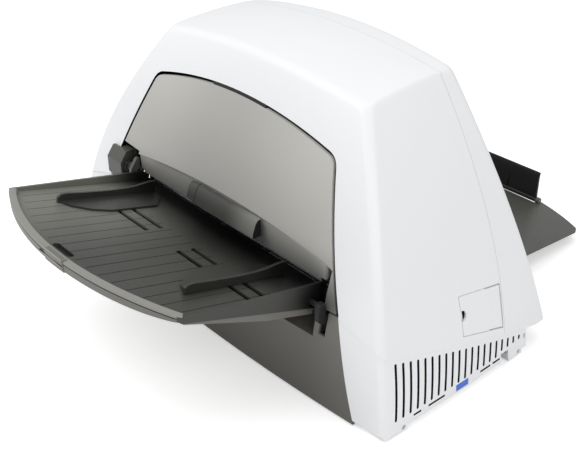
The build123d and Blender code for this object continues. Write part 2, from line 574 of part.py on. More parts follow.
with BuildPart() as front_cover:
    add(outer_case)
    add(inner_case, mode=Mode.SUBTRACT)
    extrude(cover_outline(0.0), amount=200.0, mode=Mode.INTERSECT)
    with BuildSketch(Plane.XZ.offset(60.0)):
        with BuildLine():
            left, right = PATH_X - BREAK_HALF, PATH_X + BREAK_HALF
            ThreePointArc((left, BREAK_Z), (PATH_X, BREAK_Z + BREAK_RISE), (right, BREAK_Z))
            Polyline((right, BREAK_Z), (LEG_X, BREAK_Z - 4.0), (LEG_X, 60.0), (-240.0, 60.0), (-240.0, POD_Z[1] + 2.0),
                     (left, POD_Z[1] + 2.0), (left, BREAK_Z))
        make_face()
    extrude(amount=200.0, mode=Mode.SUBTRACT)
    for x in LATCH_EAR_X:
        along_x([(-149.2, 178.0), (-151.0, 176.0), (LATCH_PIN_Y - 1.5, LATCH_PIN_Z + 2.6), (LATCH_PIN_Y - 3.0, LATCH_PIN_Z),
                 (LATCH_PIN_Y - 1.5, LATCH_PIN_Z - 2.6), (LATCH_PIN_Y + 1.5, LATCH_PIN_Z - 2.6),
                 (LATCH_PIN_Y + 3.5, LATCH_PIN_Z + 1.5), (-149.2, 172.6)], (x - 3.0, x + 3.0))
        rod_x((x - 3.0, x + 3.0), LATCH_PIN_Y, LATCH_PIN_Z, LATCH_PIN_RADIUS, mode=Mode.SUBTRACT)
    for side in (-1, 1):
        x0, x1 = sorted((side * KNUCKLE_X[0], side * KNUCKLE_X[1]))
        rod_x((x0, x1), HINGE_Y, HINGE_Z, KNUCKLE_RADIUS)
        along_x([(HINGE_Y - 2.1, HINGE_Z), (HINGE_Y + 1.0, HINGE_Z), (HINGE_Y - 1.0, 271.0), (HINGE_Y - 4.5, 271.0)], (x0, x1))
        rod_x((x0, x1), HINGE_Y, HINGE_Z, HINGE_PIN_RADIUS + RUN_GAP, mode=Mode.SUBTRACT)
write(front_cover, "front_cover")

with BuildPart() as hinge_pins:
    with BuildSketch(DOOR_PLANE.offset(-2.5)):
        Circle(DOOR_PIN_RADIUS)
    extrude(amount=DOOR_LENGTH + 5.0)
    for side in (-1, 1):
        x0, x1 = sorted((side * (KNUCKLE_X[0] - 3.5), side * (KNUCKLE_X[1] + 3.5)))
        rod_x((x0, x1), HINGE_Y, HINGE_Z, HINGE_PIN_RADIUS)
write(hinge_pins, "hinge_pins")

with BuildPart() as feeder_lip:
    along_x([(FLANGE_Y - 1.25, FLANGE_Z), (FLANGE_Y + 1.25, FLANGE_Z), (FLANGE_Y - 0.5, 178.0), (FLANGE_Y - 3.2, 178.0)],
            FLANGE_X)
    add(case_body(1.2), mode=Mode.INTERSECT)
    with BuildSketch(Plane.XZ.offset(60.0)):
        with BuildLine():
            left, right = PATH_X - BREAK_HALF, PATH_X + BREAK_HALF
            low = BREAK_Z - EDGE_GAP
            ThreePointArc((left, low), (PATH_X, low + BREAK_RISE), (right, low))
            Polyline((right, low), (right + 20.0, low), (right + 20.0, 100.0), (left - 20.0, 100.0), (left - 20.0, low),
                     (left, low))
        make_face()
    extrude(amount=200.0, mode=Mode.INTERSECT)
    for x0 in (PATH_X - TRAY_HALF - 5.0, PATH_X + TRAY_HALF - 5.0):
        block((x0, x0 + 10.0), (-156.0, -140.0), (120.0, 138.0), mode=Mode.SUBTRACT)
    block((FRAME_X[0] + FRAME_THICKNESS, FLANGE_X[0] + 3.0), (FLANGE_Y - 0.5, -112.0), (140.0, 155.0))
    block((FLANGE_X[1] - 2.0, FRAME_X[1]), (FLANGE_Y - 0.5, -112.0), (140.0, 155.0))
write(feeder_lip, "feeder_lip")

with BuildPart() as latch_pin:
    rod_x((LATCH_EAR_X[0] - 10.0, LATCH_EAR_X[1] + 10.0), LATCH_PIN_Y, LATCH_PIN_Z, LATCH_PIN_RADIUS)
write(latch_pin, "latch_pin")

with BuildPart() as cover_latch:
    z0, z1 = LATCH_Z
    front, back = LATCH_FRONT_Y, LATCH_BACK_Y
    along_x([(back, z0 + 1.5), (back - 6.0, z0), (front + 2.5, z0 + 1.0), (front, z0 + 5.0), (front + 0.5, z1 - 11.0),
             (front + 2.5, z1 - 4.5), (front + 6.5, z1 - 0.6), (back, z1)], LATCH_X)
    for x in LATCH_EAR_X:
        block((x - 3.6, x + 3.6), (LATCH_PIN_Y - 4.2, back + 1.0), (LATCH_PIN_Z - 5.0, z1 + 1.0), mode=Mode.SUBTRACT)
    rod_x((LATCH_EAR_X[0] - 10.4, LATCH_EAR_X[1] + 10.4), LATCH_PIN_Y, LATCH_PIN_Z, LATCH_PIN_RADIUS + RUN_GAP,
          mode=Mode.SUBTRACT)
write(cover_latch, "cover_latch")

with BuildPart() as drive_pod:
    x0, x1 = POD_X
    z0, z1 = POD_Z
    along_x([(-136.0, z0), (POD_FRONT_Y + 3.0, z0), (POD_FRONT_Y, z0 + 4.0), (POD_FRONT_Y, z1 - 16.0), (POD_FRONT_Y + 3.0, z1 - 6.0),
             (POD_FRONT_Y + 9.0, z1), (-136.0, z1)], POD_X)
    along_x([(-150.0, z0 - 1.0), (-150.0, 131.0), (-146.5, 132.5), (-146.5, 138.2), (-150.0, 139.0), (-150.0, z1 + 1.0),
             (-130.0, z1 + 1.0), (-130.0, z0 - 1.0)], (POD_RECESS_X[0], x1 + 1.0), mode=Mode.SUBTRACT)
    block(POD_RECESS_X, (-180.0, -130.0), (z0 - 1.0, z1 - 6.0), mode=Mode.SUBTRACT)
    block((POD_RECESS_X[1] - 1.0, x1 + 1.0), (-174.0, -158.0), (z0 - 1.0, 126.0), mode=Mode.SUBTRACT)
    block((x0 - 1.0, POD_RECESS_X[0] - 3.0), (-142.0, -130.0), (z0 + 4.0, z1 + 1.0), mode=Mode.SUBTRACT)
    rod_x((POD_RECESS_X[0] - 6.0, x1 + 1.0), LIFT_GEAR_Y, LIFT_GEAR_Z, 2.0, mode=Mode.SUBTRACT)
    with BuildPart(mode=Mode.PRIVATE) as shell_strip:
        along_x([(-160.8, 110.0), (-100.0, 110.0), (-100.0, 165.0), (-147.2, 165.0)], (-215.0, -180.0))
        along_y([(-215.0, 110.0), (-209.4, 110.0), (-188.0, 165.0), (-215.0, 165.0)], (-200.0, -90.0), mode=Mode.INTERSECT)
    add(shell_strip.part, mode=Mode.SUBTRACT)
write(drive_pod, "drive_pod")

with BuildPart() as lift_gear_pin:
    rod_x((POD_RECESS_X[0] - 5.5, POD_X[1]), LIFT_GEAR_Y, LIFT_GEAR_Z, 2.0)
write(lift_gear_pin, "lift_gear_pin")

with BuildPart() as elevator_gear:
    with BuildSketch(Plane.YZ.offset(RACK_X[0])):
        with BuildLine():
            Polyline(*[(LIFT_GEAR_Y + y, LIFT_GEAR_Z + z) for y, z in gear_points(LIFT_TEETH)], close=True)
        make_face()
        with Locations((LIFT_GEAR_Y, LIFT_GEAR_Z)):
            Circle(2.0 + RUN_GAP, mode=Mode.SUBTRACT)
    extrude(amount=RACK_X[1] - RACK_X[0])
    rod_x((RACK_X[1], POD_RECESS_X[1] - 1.0), LIFT_GEAR_Y, LIFT_GEAR_Z, 6.6)
    rod_x((RACK_X[1], POD_RECESS_X[1] - 1.0), LIFT_GEAR_Y, LIFT_GEAR_Z, 2.0 + RUN_GAP, mode=Mode.SUBTRACT)
write(elevator_gear, "elevator_gear")

with BuildPart() as elevator_carriage:
    block((ROD_X[0] - 6.0, ROD_X[1] + 6.0), BAR_Y, BAR_Z)
    for x in ARM_X:
        ends = (x, x + ARM_THICKNESS)
        along_x([(BAR_Y[1], BAR_Z[0]), (BAR_Y[0], BAR_Z[0]), (BAR_Y[0], 98.0), (-164.0, 98.0), (-171.5, 104.0),
                 (-171.5, 122.5), (-169.5, 124.5), (-163.5, 124.5), (-162.0, 122.5), (-162.0, 109.0), (BAR_Y[1], 109.0)], ends)
        rod_x(ends, TRAY_HINGE_Y, TRAY_HINGE_Z, TRAY_PIN_RADIUS, mode=Mode.SUBTRACT)
    along_x([(BAR_Y[0], 98.0), (-144.0, 98.0), (-144.0, 109.0), (BAR_Y[0], 109.0)], (RACK_X[0], ARM_X[0] + 1.0))
    rack = [(-143.9 - out, along) for along, out in rack_points(105.0, 16, -6.0, -1.15, 0.7)]
    along_x(rack, RACK_X)
    for x in ROD_X:
        rod_z(x, sum(BAR_Y) / 2, (BAR_Z[0] - 1.0, BAR_Z[1] + 1.0), ROD_RADIUS + RUN_GAP, mode=Mode.SUBTRACT)
write(elevator_carriage, "elevator_carriage")

with BuildPart() as elevator_rods:
    for x in ROD_X:
        rod_z(x, sum(BAR_Y) / 2, (FLOOR_TOP_Z, 96.0), ROD_RADIUS)
        rod_z(x, sum(BAR_Y) / 2, (FLOOR_TOP_Z, 30.0), 6.0)
write(elevator_rods, "elevator_rods")

with BuildPart() as tray_pivot_pins:
    rod_x((ARM_X[0] + 0.5, PATH_X - TRAY_HALF + 8.0), TRAY_HINGE_Y, TRAY_HINGE_Z, TRAY_PIN_RADIUS)
    rod_x((PATH_X + TRAY_HALF - 8.0, ARM_X[1] + ARM_THICKNESS - 0.5), TRAY_HINGE_Y, TRAY_HINGE_Z, TRAY_PIN_RADIUS)
write(tray_pivot_pins, "tray_pivot_pins")

with BuildPart() as input_tray_deck:
    tray_outline(0.0, 110.0, TRAY_BACK_Y)
    along_x([(-370.0, skirt_z(-370.0)), (TRAY_CORNER_Y, SKIRT_TIP_Z), (TRAY_INNER_Y, SKIRT_INNER_Z), (TRAY_BACK_Y, 109.0),
             (TRAY_BACK_Y, rim_z(TRAY_BACK_Y) - 4.5), (TRAY_BACK_Y - 11.0, rim_z(TRAY_BACK_Y - 11.0)), (-370.0, rim_z(-370.0))],
            (-200.0, 220.0), mode=Mode.INTERSECT)
    with BuildPart(mode=Mode.PRIVATE) as well:
        tray_outline(RIM_WIDTH, 110.0, TRAY_BACK_Y + 5.0)
        along_x([(-370.0, deck_z(-370.0)), (-130.0, deck_z(-130.0)), (-130.0, 200.0), (-370.0, 260.0)], (-200.0, 220.0),
                mode=Mode.INTERSECT)
    add(well.part, mode=Mode.SUBTRACT)
    with BuildPart(mode=Mode.PRIVATE) as underside:
        tray_outline(SHEET, 110.0, TRAY_BACK_Y - SHEET)
        along_x([(-370.0, deck_z(-370.0) - SHEET), (-130.0, deck_z(-130.0) - SHEET), (-130.0, 60.0), (-370.0, 60.0)],
                (-200.0, 220.0), mode=Mode.INTERSECT)
    add(underside.part, mode=Mode.SUBTRACT)
    for x0 in (PATH_X - TRAY_HALF, PATH_X + TRAY_HALF - 7.0):
        rod_x((x0, x0 + 7.0), TRAY_HINGE_Y, TRAY_HINGE_Z, 6.5)
    along_x([(TRAY_HINGE_Y - 8.0, deck_z(TRAY_HINGE_Y - 8.0)), (TRAY_HINGE_Y + 8.0, deck_z(TRAY_HINGE_Y + 8.0)),
             (TRAY_HINGE_Y + 8.0, 131.0), (TRAY_HINGE_Y - 8.0, 134.0)],
            (PATH_X - TRAY_HALF + RIM_WIDTH, PATH_X + TRAY_HALF - RIM_WIDTH), mode=Mode.SUBTRACT)
    rod_x((-170.0, PATH_X - TRAY_HALF + 8.1), TRAY_HINGE_Y, TRAY_HINGE_Z, TRAY_PIN_RADIUS + RUN_GAP, mode=Mode.SUBTRACT)
    rod_x((PATH_X + TRAY_HALF - 8.1, 200.0), TRAY_HINGE_Y, TRAY_HINGE_Z, TRAY_PIN_RADIUS + RUN_GAP, mode=Mode.SUBTRACT)
    for row in (-SLOT_ROW, SLOT_ROW):
        for side in (-1, 1):
            x0, x1 = sorted((SLOT_X + side * SLOT_INNER, SLOT_X + side * SLOT_OUTER))
            deck_block((x0, x1), (row - SLOT_WIDTH / 2, row + SLOT_WIDTH / 2), (-4.0, 1.0), mode=Mode.SUBTRACT)
    with BuildSketch(Plane.XY.offset(120.0)):
        with Locations((FINGER_X, FINGER_Y)):
            SlotOverall(34.0, 8.0)
    extrude(amount=80.0, mode=Mode.SUBTRACT)
    deck_block((PATH_X - EXTENDER_HALF - 0.5, PATH_X + EXTENDER_HALF + 0.5), (-165.0, -90.0),
               (-SHEET - 3.6, -SHEET - 0.0), mode=Mode.SUBTRACT)
    deck_rod(SLOT_X, 0.0, (-SHEET - 6.0, -SHEET / 2), 2.0)
write(input_tray_deck, "input_tray_deck")

with BuildPart() as input_tray_cover:
    tray_outline(SHEET + 1.2, 110.0, -157.0)
    top = [(-345.0, skirt_z(-345.0) - 0.5), (TRAY_CORNER_Y, SKIRT_TIP_Z - 0.5), (-157.0, SKIRT_INNER_Z - 0.5 + SKIRT_SLOPE * 5.0)]
    bottom = [COVER_LINE[2], COVER_LINE[1], COVER_LINE[0], (-345.0, skirt_z(-345.0) - 1.5)]
    along_x(top + bottom, (-200.0, 220.0), mode=Mode.INTERSECT)
    with BuildPart(mode=Mode.PRIVATE) as hollow:
        tray_outline(SHEET + 1.2 + SHEET, 110.0, -157.0 - SHEET)
        along_x([(-315.0, 200.0), (-315.0, COVER_LINE[0][1] + SHEET), (COVER_LINE[1][0], COVER_LINE[1][1] + SHEET),
                 (-150.0, COVER_LINE[2][1] + SHEET - 2.0), (-150.0, 200.0)], (-200.0, 220.0), mode=Mode.INTERSECT)
    add(hollow.part, mode=Mode.SUBTRACT)
    deck_block((PATH_X - EXTENDER_HALF - 0.5, PATH_X + EXTENDER_HALF + 0.5), (-165.0, -19.0),
               (-SHEET - 3.6, -SHEET - 0.0), mode=Mode.SUBTRACT)
write(input_tray_cover, "input_tray_cover")

with BuildPart() as tray_extender:
    s1 = (EXTENDER_REAR - PINION_Y) / cos(DECK_ANGLE)
    s0 = (TAB_FRONT_Y - PINION_Y) / cos(DECK_ANGLE)
    deck_block((PATH_X - EXTENDER_HALF, PATH_X + EXTENDER_HALF), (s0 + 2.0, s1), (-SHEET - 0.6 - EXTENDER_SHEET, -SHEET - 0.6))
    deck_block((PATH_X - TAB_HALF, PATH_X + TAB_HALF), (s0, s0 + 2.8), (-SHEET - 3.2, 5.0))
write(tray_extender, "tray_extender")


def paper_guide(side, teeth_before):
    """Side guide: wall and foot on the deck, a key in the spare slot, and a post through its own slot to its rack."""
    wall = GUIDE_CENTRE_X + side * GUIDE_WALL_X
    foot, post = wall - side * GUIDE_FOOT, wall - side * 16.0
    tip = (GUIDE_TIP_Y - PINION_Y) / cos(DECK_ANGLE)
    end = (GUIDE_INNER_Y - PINION_Y) / cos(DECK_ANGLE)
    profile = [(tip, PART_GAP), (tip, 7.0), (tip + 6.0, 12.0), (tip + 16.0, GUIDE_HEIGHT), (tip + 34.0, GUIDE_HEIGHT - 2.5),
               (tip + 62.0, GUIDE_HEIGHT - 3.0), (end - 26.0, GUIDE_HEIGHT), (end - 8.0, GUIDE_HEIGHT + GUIDE_SWOOP),
               (end, GUIDE_HEIGHT + GUIDE_SWOOP + 0.5), (end, PART_GAP)]
    places = [DECK_PLANE.from_local_coords((0.0, along, up)) for along, up in profile]
    start = SLOT_X - pi * teeth_before
    rack = [(along, side * (PINION_RADIUS - out)) for along, out in rack_points(start, RACK_TEETH, -4.2, -1.15, 0.7)]
    bar = (start + pi * RACK_TEETH - 0.2, post + 7.0) if side > 0 else (post - 7.0, start + 0.2)
    with BuildPart() as guide:
        along_x([(place.Y, place.Z) for place in places], sorted((wall, wall + side * GUIDE_THICKNESS)))
        with BuildSketch(DECK_PLANE.offset(PART_GAP)):
            with BuildLine():
                Polyline((wall, tip + 2.0), (wall - side * 14.0, tip + 8.0), (wall - side * 30.0, tip + 26.0),
                         (foot, tip + 46.0), (foot, end - 22.0), (wall - side * 20.0, end - 6.0), (wall, end), close=True)
            make_face()
        extrude(amount=2.2)
        for row, bottom in ((side * SLOT_ROW, -SHEET - 3.0), (-side * SLOT_ROW, -SHEET + 0.3)):
            deck_block((post - 7.0, post + 7.0), (row - SLOT_WIDTH / 2 + 0.4, row + SLOT_WIDTH / 2 - 0.4), (bottom, 1.5))
        with BuildSketch(DECK_PLANE.offset(RACK_N[0])):
            with BuildLine():
                Polyline(*rack, close=True)
            make_face()
        extrude(amount=RACK_N[1] - RACK_N[0])
        deck_block(bar, sorted((side * (PINION_RADIUS + 1.15), side * (PINION_RADIUS + 4.2))), RACK_N)
    return guide


right_guide = paper_guide(1, 14)
write(right_guide, "right_guide")
left_guide = paper_guide(-1, 17)
write(left_guide, "left_guide")

with BuildPart() as guide_pinion:
    with BuildSketch(DECK_PLANE.offset(RACK_N[0])):
        with BuildLine():
            Polyline(*[(SLOT_X + x, y) for x, y in gear_points(PINION_TEETH)], close=True)
        make_face()
        with Locations((SLOT_X, 0.0)):
            Circle(2.0 + RUN_GAP, mode=Mode.SUBTRACT)
    extrude(amount=RACK_N[1] - RACK_N[0] - 0.2)
write(guide_pinion, "guide_pinion")

with BuildPart() as output_tray:
    out_outline(0.0, OUT_BACK_Y)
    along_x([*OUT_SKIRT, (380.0, out_z(380.0) - 4.0), (380.0, out_z(380.0)), (OUT_BACK_Y, out_z(OUT_BACK_Y))],
            (-200.0, 220.0), mode=Mode.INTERSECT)
    with BuildPart(mode=Mode.PRIVATE) as underside:
        out_outline(SHEET, OUT_BACK_Y + SHEET)
        along_x([(60.0, 0.0), (60.0, out_z(60.0) - SHEET), (380.0, out_z(380.0) - SHEET), (380.0, 0.0)], (-200.0, 220.0),
                mode=Mode.INTERSECT)
    add(underside.part, mode=Mode.SUBTRACT)
    for x0 in (PATH_X - OUT_HALF, PATH_X + OUT_HALF - 6.0):
        rod_x((x0, x0 + 6.0), OUT_HINGE_Y, OUT_HINGE_Z, 6.0)
    rod_x((PATH_X - OUT_HALF - 1.0, PATH_X - OUT_HALF + 6.1), OUT_HINGE_Y, OUT_HINGE_Z, OUT_PIN_RADIUS + RUN_GAP, mode=Mode.SUBTRACT)
    rod_x((PATH_X + OUT_HALF - 6.1, PATH_X + OUT_HALF + 1.0), OUT_HINGE_Y, OUT_HINGE_Z, OUT_PIN_RADIUS + RUN_GAP, mode=Mode.SUBTRACT)
    block((PATH_X - STOP_HALF - 0.6, PATH_X + STOP_HALF + 0.6), (STOP_Y - 4.0, STOP_Y + 4.5), (0.0, 40.0), mode=Mode.SUBTRACT)
    for x0, x1 in ((PATH_X - STOP_HALF - 6.0, PATH_X - STOP_HALF - 0.6), (PATH_X + STOP_HALF + 0.6, PATH_X + STOP_HALF + 6.0)):
        rod_x((x0, x1), STOP_Y, STOP_Z, 4.0)
        rod_x((x0 - 1.0, x1 + 1.0), STOP_Y, STOP_Z, 1.5, mode=Mode.SUBTRACT)
write(output_tray, "output_tray")

with BuildPart() as end_stop:
    half = STOP_HALF
    along_x([(STOP_Y - 1.6, STOP_Z), (STOP_Y - 1.6, STOP_Z + STOP_HEIGHT - 6.0), (STOP_Y + 0.4, STOP_Z + STOP_HEIGHT), (STOP_Y + 2.6, STOP_Z + STOP_HEIGHT),
             (STOP_Y + 1.6, STOP_Z + STOP_HEIGHT - 8.0), (STOP_Y + 1.6, STOP_Z)], (PATH_X - half, PATH_X + half))
    rod_x((PATH_X - half, PATH_X + half), STOP_Y, STOP_Z, 3.0)
    for x in (-40.0, 49.0, 60.0):
        along_x([(STOP_Y + 1.0, STOP_Z + 4.0), (STOP_Y + 3.6, STOP_Z + 4.0), (STOP_Y + 3.0, STOP_Z + STOP_HEIGHT - 4.0),
                 (STOP_Y + 1.0, STOP_Z + STOP_HEIGHT - 4.0)], (x, x + 2.0))
    for x in (-30.0, 43.0):
        along_x([(STOP_Y - 4.2, STOP_Z + 6.0), (STOP_Y - 1.0, STOP_Z + 3.0), (STOP_Y - 1.0, STOP_Z + STOP_HEIGHT - 12.0)], (x, x + 2.0))
    rod_x((PATH_X - half - 1.0, PATH_X + half + 1.0), STOP_Y, STOP_Z, 1.5 + RUN_GAP, mode=Mode.SUBTRACT)
write(end_stop, "end_stop")

with BuildPart() as stop_pin:
    rod_x((PATH_X - STOP_HALF - 5.5, PATH_X + STOP_HALF + 5.5), STOP_Y, STOP_Z, 1.5)
write(stop_pin, "stop_pin")


def frame_holes(xs):
    """Bush seats in a side frame."""
    for y, z, radius in ROLLERS.values():
        rod_x(xs, y, z, BUSH_RADIUS, mode=Mode.SUBTRACT)


def nip_z(y):
    """Height of the middle of the paper path."""
    return path_z(y) + PATH_GAP / 2


ROLLERS = {
    "feed": (FEED_Y, nip_z(FEED_Y) + NIP / 2 + FEED_RADIUS, FEED_RADIUS),
    "separation": (FEED_Y - 2.0, nip_z(FEED_Y) - NIP / 2 - SEPARATION_RADIUS, SEPARATION_RADIUS),
    "front_drive": (FRONT_Y, nip_z(FRONT_Y) + NIP / 2 + DRIVE_RADIUS, DRIVE_RADIUS),
    "front_pinch": (FRONT_Y, nip_z(FRONT_Y) - NIP / 2 - PINCH_RADIUS, PINCH_RADIUS),
    "rear_drive": (REAR_Y, nip_z(REAR_Y) + NIP / 2 + DRIVE_RADIUS, DRIVE_RADIUS),
    "rear_pinch": (REAR_Y, nip_z(REAR_Y) - NIP / 2 - PINCH_RADIUS, PINCH_RADIUS),
}
TIRES_X = {"feed": ((-20.0, 48.0),), "separation": ((-16.0, 44.0),)}
DRIVE_TIRES_X = ((-130.0, -100.0), (-62.0, -32.0), (60.0, 90.0), (128.0, 158.0))
FRAME_POINTS = [(-112.0, FLOOR_TOP_Z), (-112.0, 84.0), (-129.0, 84.0), (-129.0, 158.0), (-122.0, FRAME_TOP_Z), (56.0, FRAME_TOP_Z),
                (78.0, 102.0), (78.0, 70.0), (56.0, 62.0), (56.0, FLOOR_TOP_Z)]
GUIDE_X = (FRAME_X[0] + FRAME_THICKNESS, FRAME_X[1])
HEAD_Y = (-50.0, 24.0)

for label, x0, flange in (("left_frame", FRAME_X[0], (-168.0, FRAME_X[0] + FRAME_THICKNESS)),
                          ("right_frame", FRAME_X[1], (FRAME_X[1], 196.0))):
    with BuildPart() as side_frame:
        along_x(FRAME_POINTS, (x0, x0 + FRAME_THICKNESS))
        block(flange, (-112.0, 56.0), (FLOOR_TOP_Z, FLOOR_TOP_Z + FRAME_THICKNESS))
        frame_holes((x0 - 1.0, x0 + FRAME_THICKNESS + 1.0))
        if label == "left_frame":
            rod_x((x0 - 1.0, x0 + FRAME_THICKNESS + 1.0), MOTOR_Y, MOTOR_Z, 4.0, mode=Mode.SUBTRACT)
    write(side_frame, label)

with BuildPart() as frame_crossbars:
    for y, z in ((-100.0, 176.0), (40.0, 176.0), (-30.0, 24.0)):
        block((FRAME_X[0] + FRAME_THICKNESS, FRAME_X[1]), (y - 6.0, y + 6.0), (z - 4.0, z + 4.0))
write(frame_crossbars, "frame_crossbars")

with BuildPart() as roller_bushes:
    for y, z, radius in ROLLERS.values():
        for x0 in (FRAME_X[0] - 1.0, FRAME_X[1] - 1.5):
            rod_x((x0, x0 + 5.0), y, z, BUSH_RADIUS)
            rod_x((x0, x0 + 5.0), y, z, SHAFT_RADIUS + RUN_GAP, mode=Mode.SUBTRACT)
write(roller_bushes, "roller_bushes")

for name, (y, z, radius) in ROLLERS.items():
    bands = TIRES_X.get(name, DRIVE_TIRES_X)
    driven = name in ("feed", "front_drive", "rear_drive")
    with BuildPart() as shaft:
        rod_x((SHAFT_X[0] if driven else FRAME_X[0] - 3.0, SHAFT_X[1]), y, z, SHAFT_RADIUS)
        if driven:
            rod_x(PULLEY_X, y, z, PULLEY_RADIUS)
        if radius > PINCH_RADIUS:
            for x0, x1 in bands:
                rod_x((x0, x1), y, z, radius - TIRE)
        if name in ("feed", "separation"):
            gear = FEED_GEAR_RADIUS
            rod_x((186.0, SHAFT_X[1]), y, z, gear - 0.3)
        if radius == PINCH_RADIUS:
            for x0, x1 in bands:
                rod_x((x0, x1), y, z, radius)
    if radius == PINCH_RADIUS:
        write(shaft, f"{name}_roller")
        continue
    write(shaft, f"{name}_shaft")
    with BuildPart() as tires:
        for x0, x1 in bands:
            rod_x((x0, x1), y, z, radius)
            rod_x((x0, x1), y, z, radius - TIRE, mode=Mode.SUBTRACT)
    write(tires, f"{name}_tires")

with BuildPart() as motor_pulley:
    rod_x(PULLEY_X, MOTOR_Y, MOTOR_Z, MOTOR_PULLEY_RADIUS)
    rod_x((PULLEY_X[1], FRAME_X[0] + FRAME_THICKNESS), MOTOR_Y, MOTOR_Z, 2.5)
    rod_x((-170.0, PULLEY_X[0]), MOTOR_Y, MOTOR_Z, 2.5)
write(motor_pulley, "motor_pulley")

with BuildPart() as transport_motor:
    rod_x((-204.0, -167.0), MOTOR_Y, MOTOR_Z, MOTOR_RADIUS)
    rod_x((-171.0, -166.0), MOTOR_Y, MOTOR_Z, 2.5 + RUN_GAP, mode=Mode.SUBTRACT)
    for y, z in ((MOTOR_Y - 26.0, MOTOR_Z + 8.0), (MOTOR_Y + 26.0, MOTOR_Z + 8.0), (MOTOR_Y, MOTOR_Z + 14.0)):
        rod_x((-169.5, FRAME_X[0]), y, z, 2.5)
    along_x([(MOTOR_Y - 30.0, MOTOR_Z + 4.0), (MOTOR_Y + 30.0, MOTOR_Z + 4.0), (MOTOR_Y + 30.0, MOTOR_Z + 12.0),
             (MOTOR_Y + 6.0, MOTOR_Z + 18.0), (MOTOR_Y - 6.0, MOTOR_Z + 18.0), (MOTOR_Y - 30.0, MOTOR_Z + 12.0)], (-169.5, -167.0))
write(transport_motor, "transport_motor")

with BuildPart() as transport_belt:
    centres = [(MOTOR_Y, MOTOR_Z, MOTOR_PULLEY_RADIUS)] + [(*ROLLERS[name][:2], PULLEY_RADIUS)
                                                           for name in ("feed", "front_drive", "rear_drive")]
    for grow, mode in ((1.6, Mode.ADD), (0.3, Mode.SUBTRACT)):
        with BuildSketch(Plane.YZ.offset(PULLEY_X[0] + 0.5)):
            for y, z, radius in centres:
                with Locations((y, z)):
                    Circle(radius + grow)
            make_hull()
        extrude(amount=4.0, mode=mode)
write(transport_belt, "transport_belt")

for label, base, top in (("lower_guide_plate", -PLATE, 0.0), ("upper_guide_plate", PATH_GAP, PATH_GAP + PLATE)):
    with BuildPart() as guide_plate:
        along_x([(PATH_START_Y, path_z(PATH_START_Y) + base), (PATH_END_Y, path_z(PATH_END_Y) + base),
                 (PATH_END_Y, path_z(PATH_END_Y) + top), (PATH_START_Y, path_z(PATH_START_Y) + top)], GUIDE_X)
        wanted = ("separation", "front_pinch", "rear_pinch") if base < 0 else ("feed", "front_drive", "rear_drive")
        for name in wanted:
            y, z, radius = ROLLERS[name]
            for x0, x1 in TIRES_X.get(name, DRIVE_TIRES_X):
                block((x0 - 1.5, x1 + 1.5), (y - radius - 1.0, y + radius + 1.0), (60.0, 160.0), mode=Mode.SUBTRACT)
        block((GUIDE_X[0] + 8.0, GUIDE_X[1] - 8.0), (HEAD_Y[0] + 14.0, HEAD_Y[1] - 14.0), (60.0, 160.0), mode=Mode.SUBTRACT)
        for y, z, radius in ROLLERS.values():
            for xs in ((GUIDE_X[0] - 1.0, GUIDE_X[0] + 1.8), (GUIDE_X[1] - 1.8, GUIDE_X[1] + 1.0)):
                rod_x(xs, y, z, BUSH_RADIUS + 0.3, mode=Mode.SUBTRACT)
    write(guide_plate, label)


def head_bar(y0, y1, low, high, xs):
    """Bar across the paper path between two places along it, its heights measured from the lower guide."""
    along_x([(y0, path_z(y0) + low), (y1, path_z(y1) + low), (y1, path_z(y1) + high), (y0, path_z(y0) + high)], xs)


for label, low, high in (("lower_imaging_module", -40.0, -PLATE), ("upper_imaging_module", PATH_GAP + PLATE, 46.0)):
    with BuildPart() as module:
        head_bar(HEAD_Y[0], HEAD_Y[1], low, high, (GUIDE_X[0] + 2.0, GUIDE_X[1] - 2.0))
    write(module, label)

with BuildPart() as scan_glasses:
    for low, high in ((-PLATE, -0.3), (PATH_GAP + 0.3, PATH_GAP + PLATE)):
        head_bar(HEAD_Y[0] + 15.0, HEAD_Y[1] - 15.0, low, high, (GUIDE_X[0] + 9.0, GUIDE_X[1] - 9.0))
write(scan_glasses, "scan_glasses")

with BuildPart() as power_supply:
    block((-256.0, -186.0), (-104.0, 40.0), (FLOOR_TOP_Z + 5.0, 58.0))
    for x in (-250.0, -192.0):
        for y in (-98.0, 34.0):
            rod_z(x, y, (FLOOR_TOP_Z, FLOOR_TOP_Z + 5.0), 3.0)
write(power_supply, "power_supply")

with BuildPart() as main_board:
    block((199.0, 200.6), (-100.0, 40.0), (24.0, 140.0))
    block((200.6, 208.0), (-70.0, -40.0), (70.0, 100.0))
    block((200.6, 204.0), (-20.0, 14.0), (60.0, 94.0))
    for y in (-94.0, 34.0):
        for z in (30.0, 134.0):
            rod_x((FRAME_X[1] + FRAME_THICKNESS, 199.0), y, z, 3.0)
write(main_board, "main_board")

FAN_Y, FAN_Z = -82.0, 42.0
with BuildPart() as fan_frame:
    block((244.0, 259.0), (FAN_Y - 30.0, FAN_Y + 30.0), (FLOOR_TOP_Z, FLOOR_TOP_Z + 60.0))
    rod_x((244.0, 259.0), FAN_Y, FAN_Z, 27.5, mode=Mode.SUBTRACT)
    for angle in (45.0, 135.0):
        with BuildSketch(Plane.YZ.offset(244.0)):
            with Locations((FAN_Y, FAN_Z)):
                Rectangle(58.0, 3.0, rotation=angle)
        extrude(amount=2.0)
    rod_x((244.0, 247.0), FAN_Y, FAN_Z, 10.0)
    rod_x((247.0, 256.0), FAN_Y, FAN_Z, 2.0)
write(fan_frame, "fan_frame")

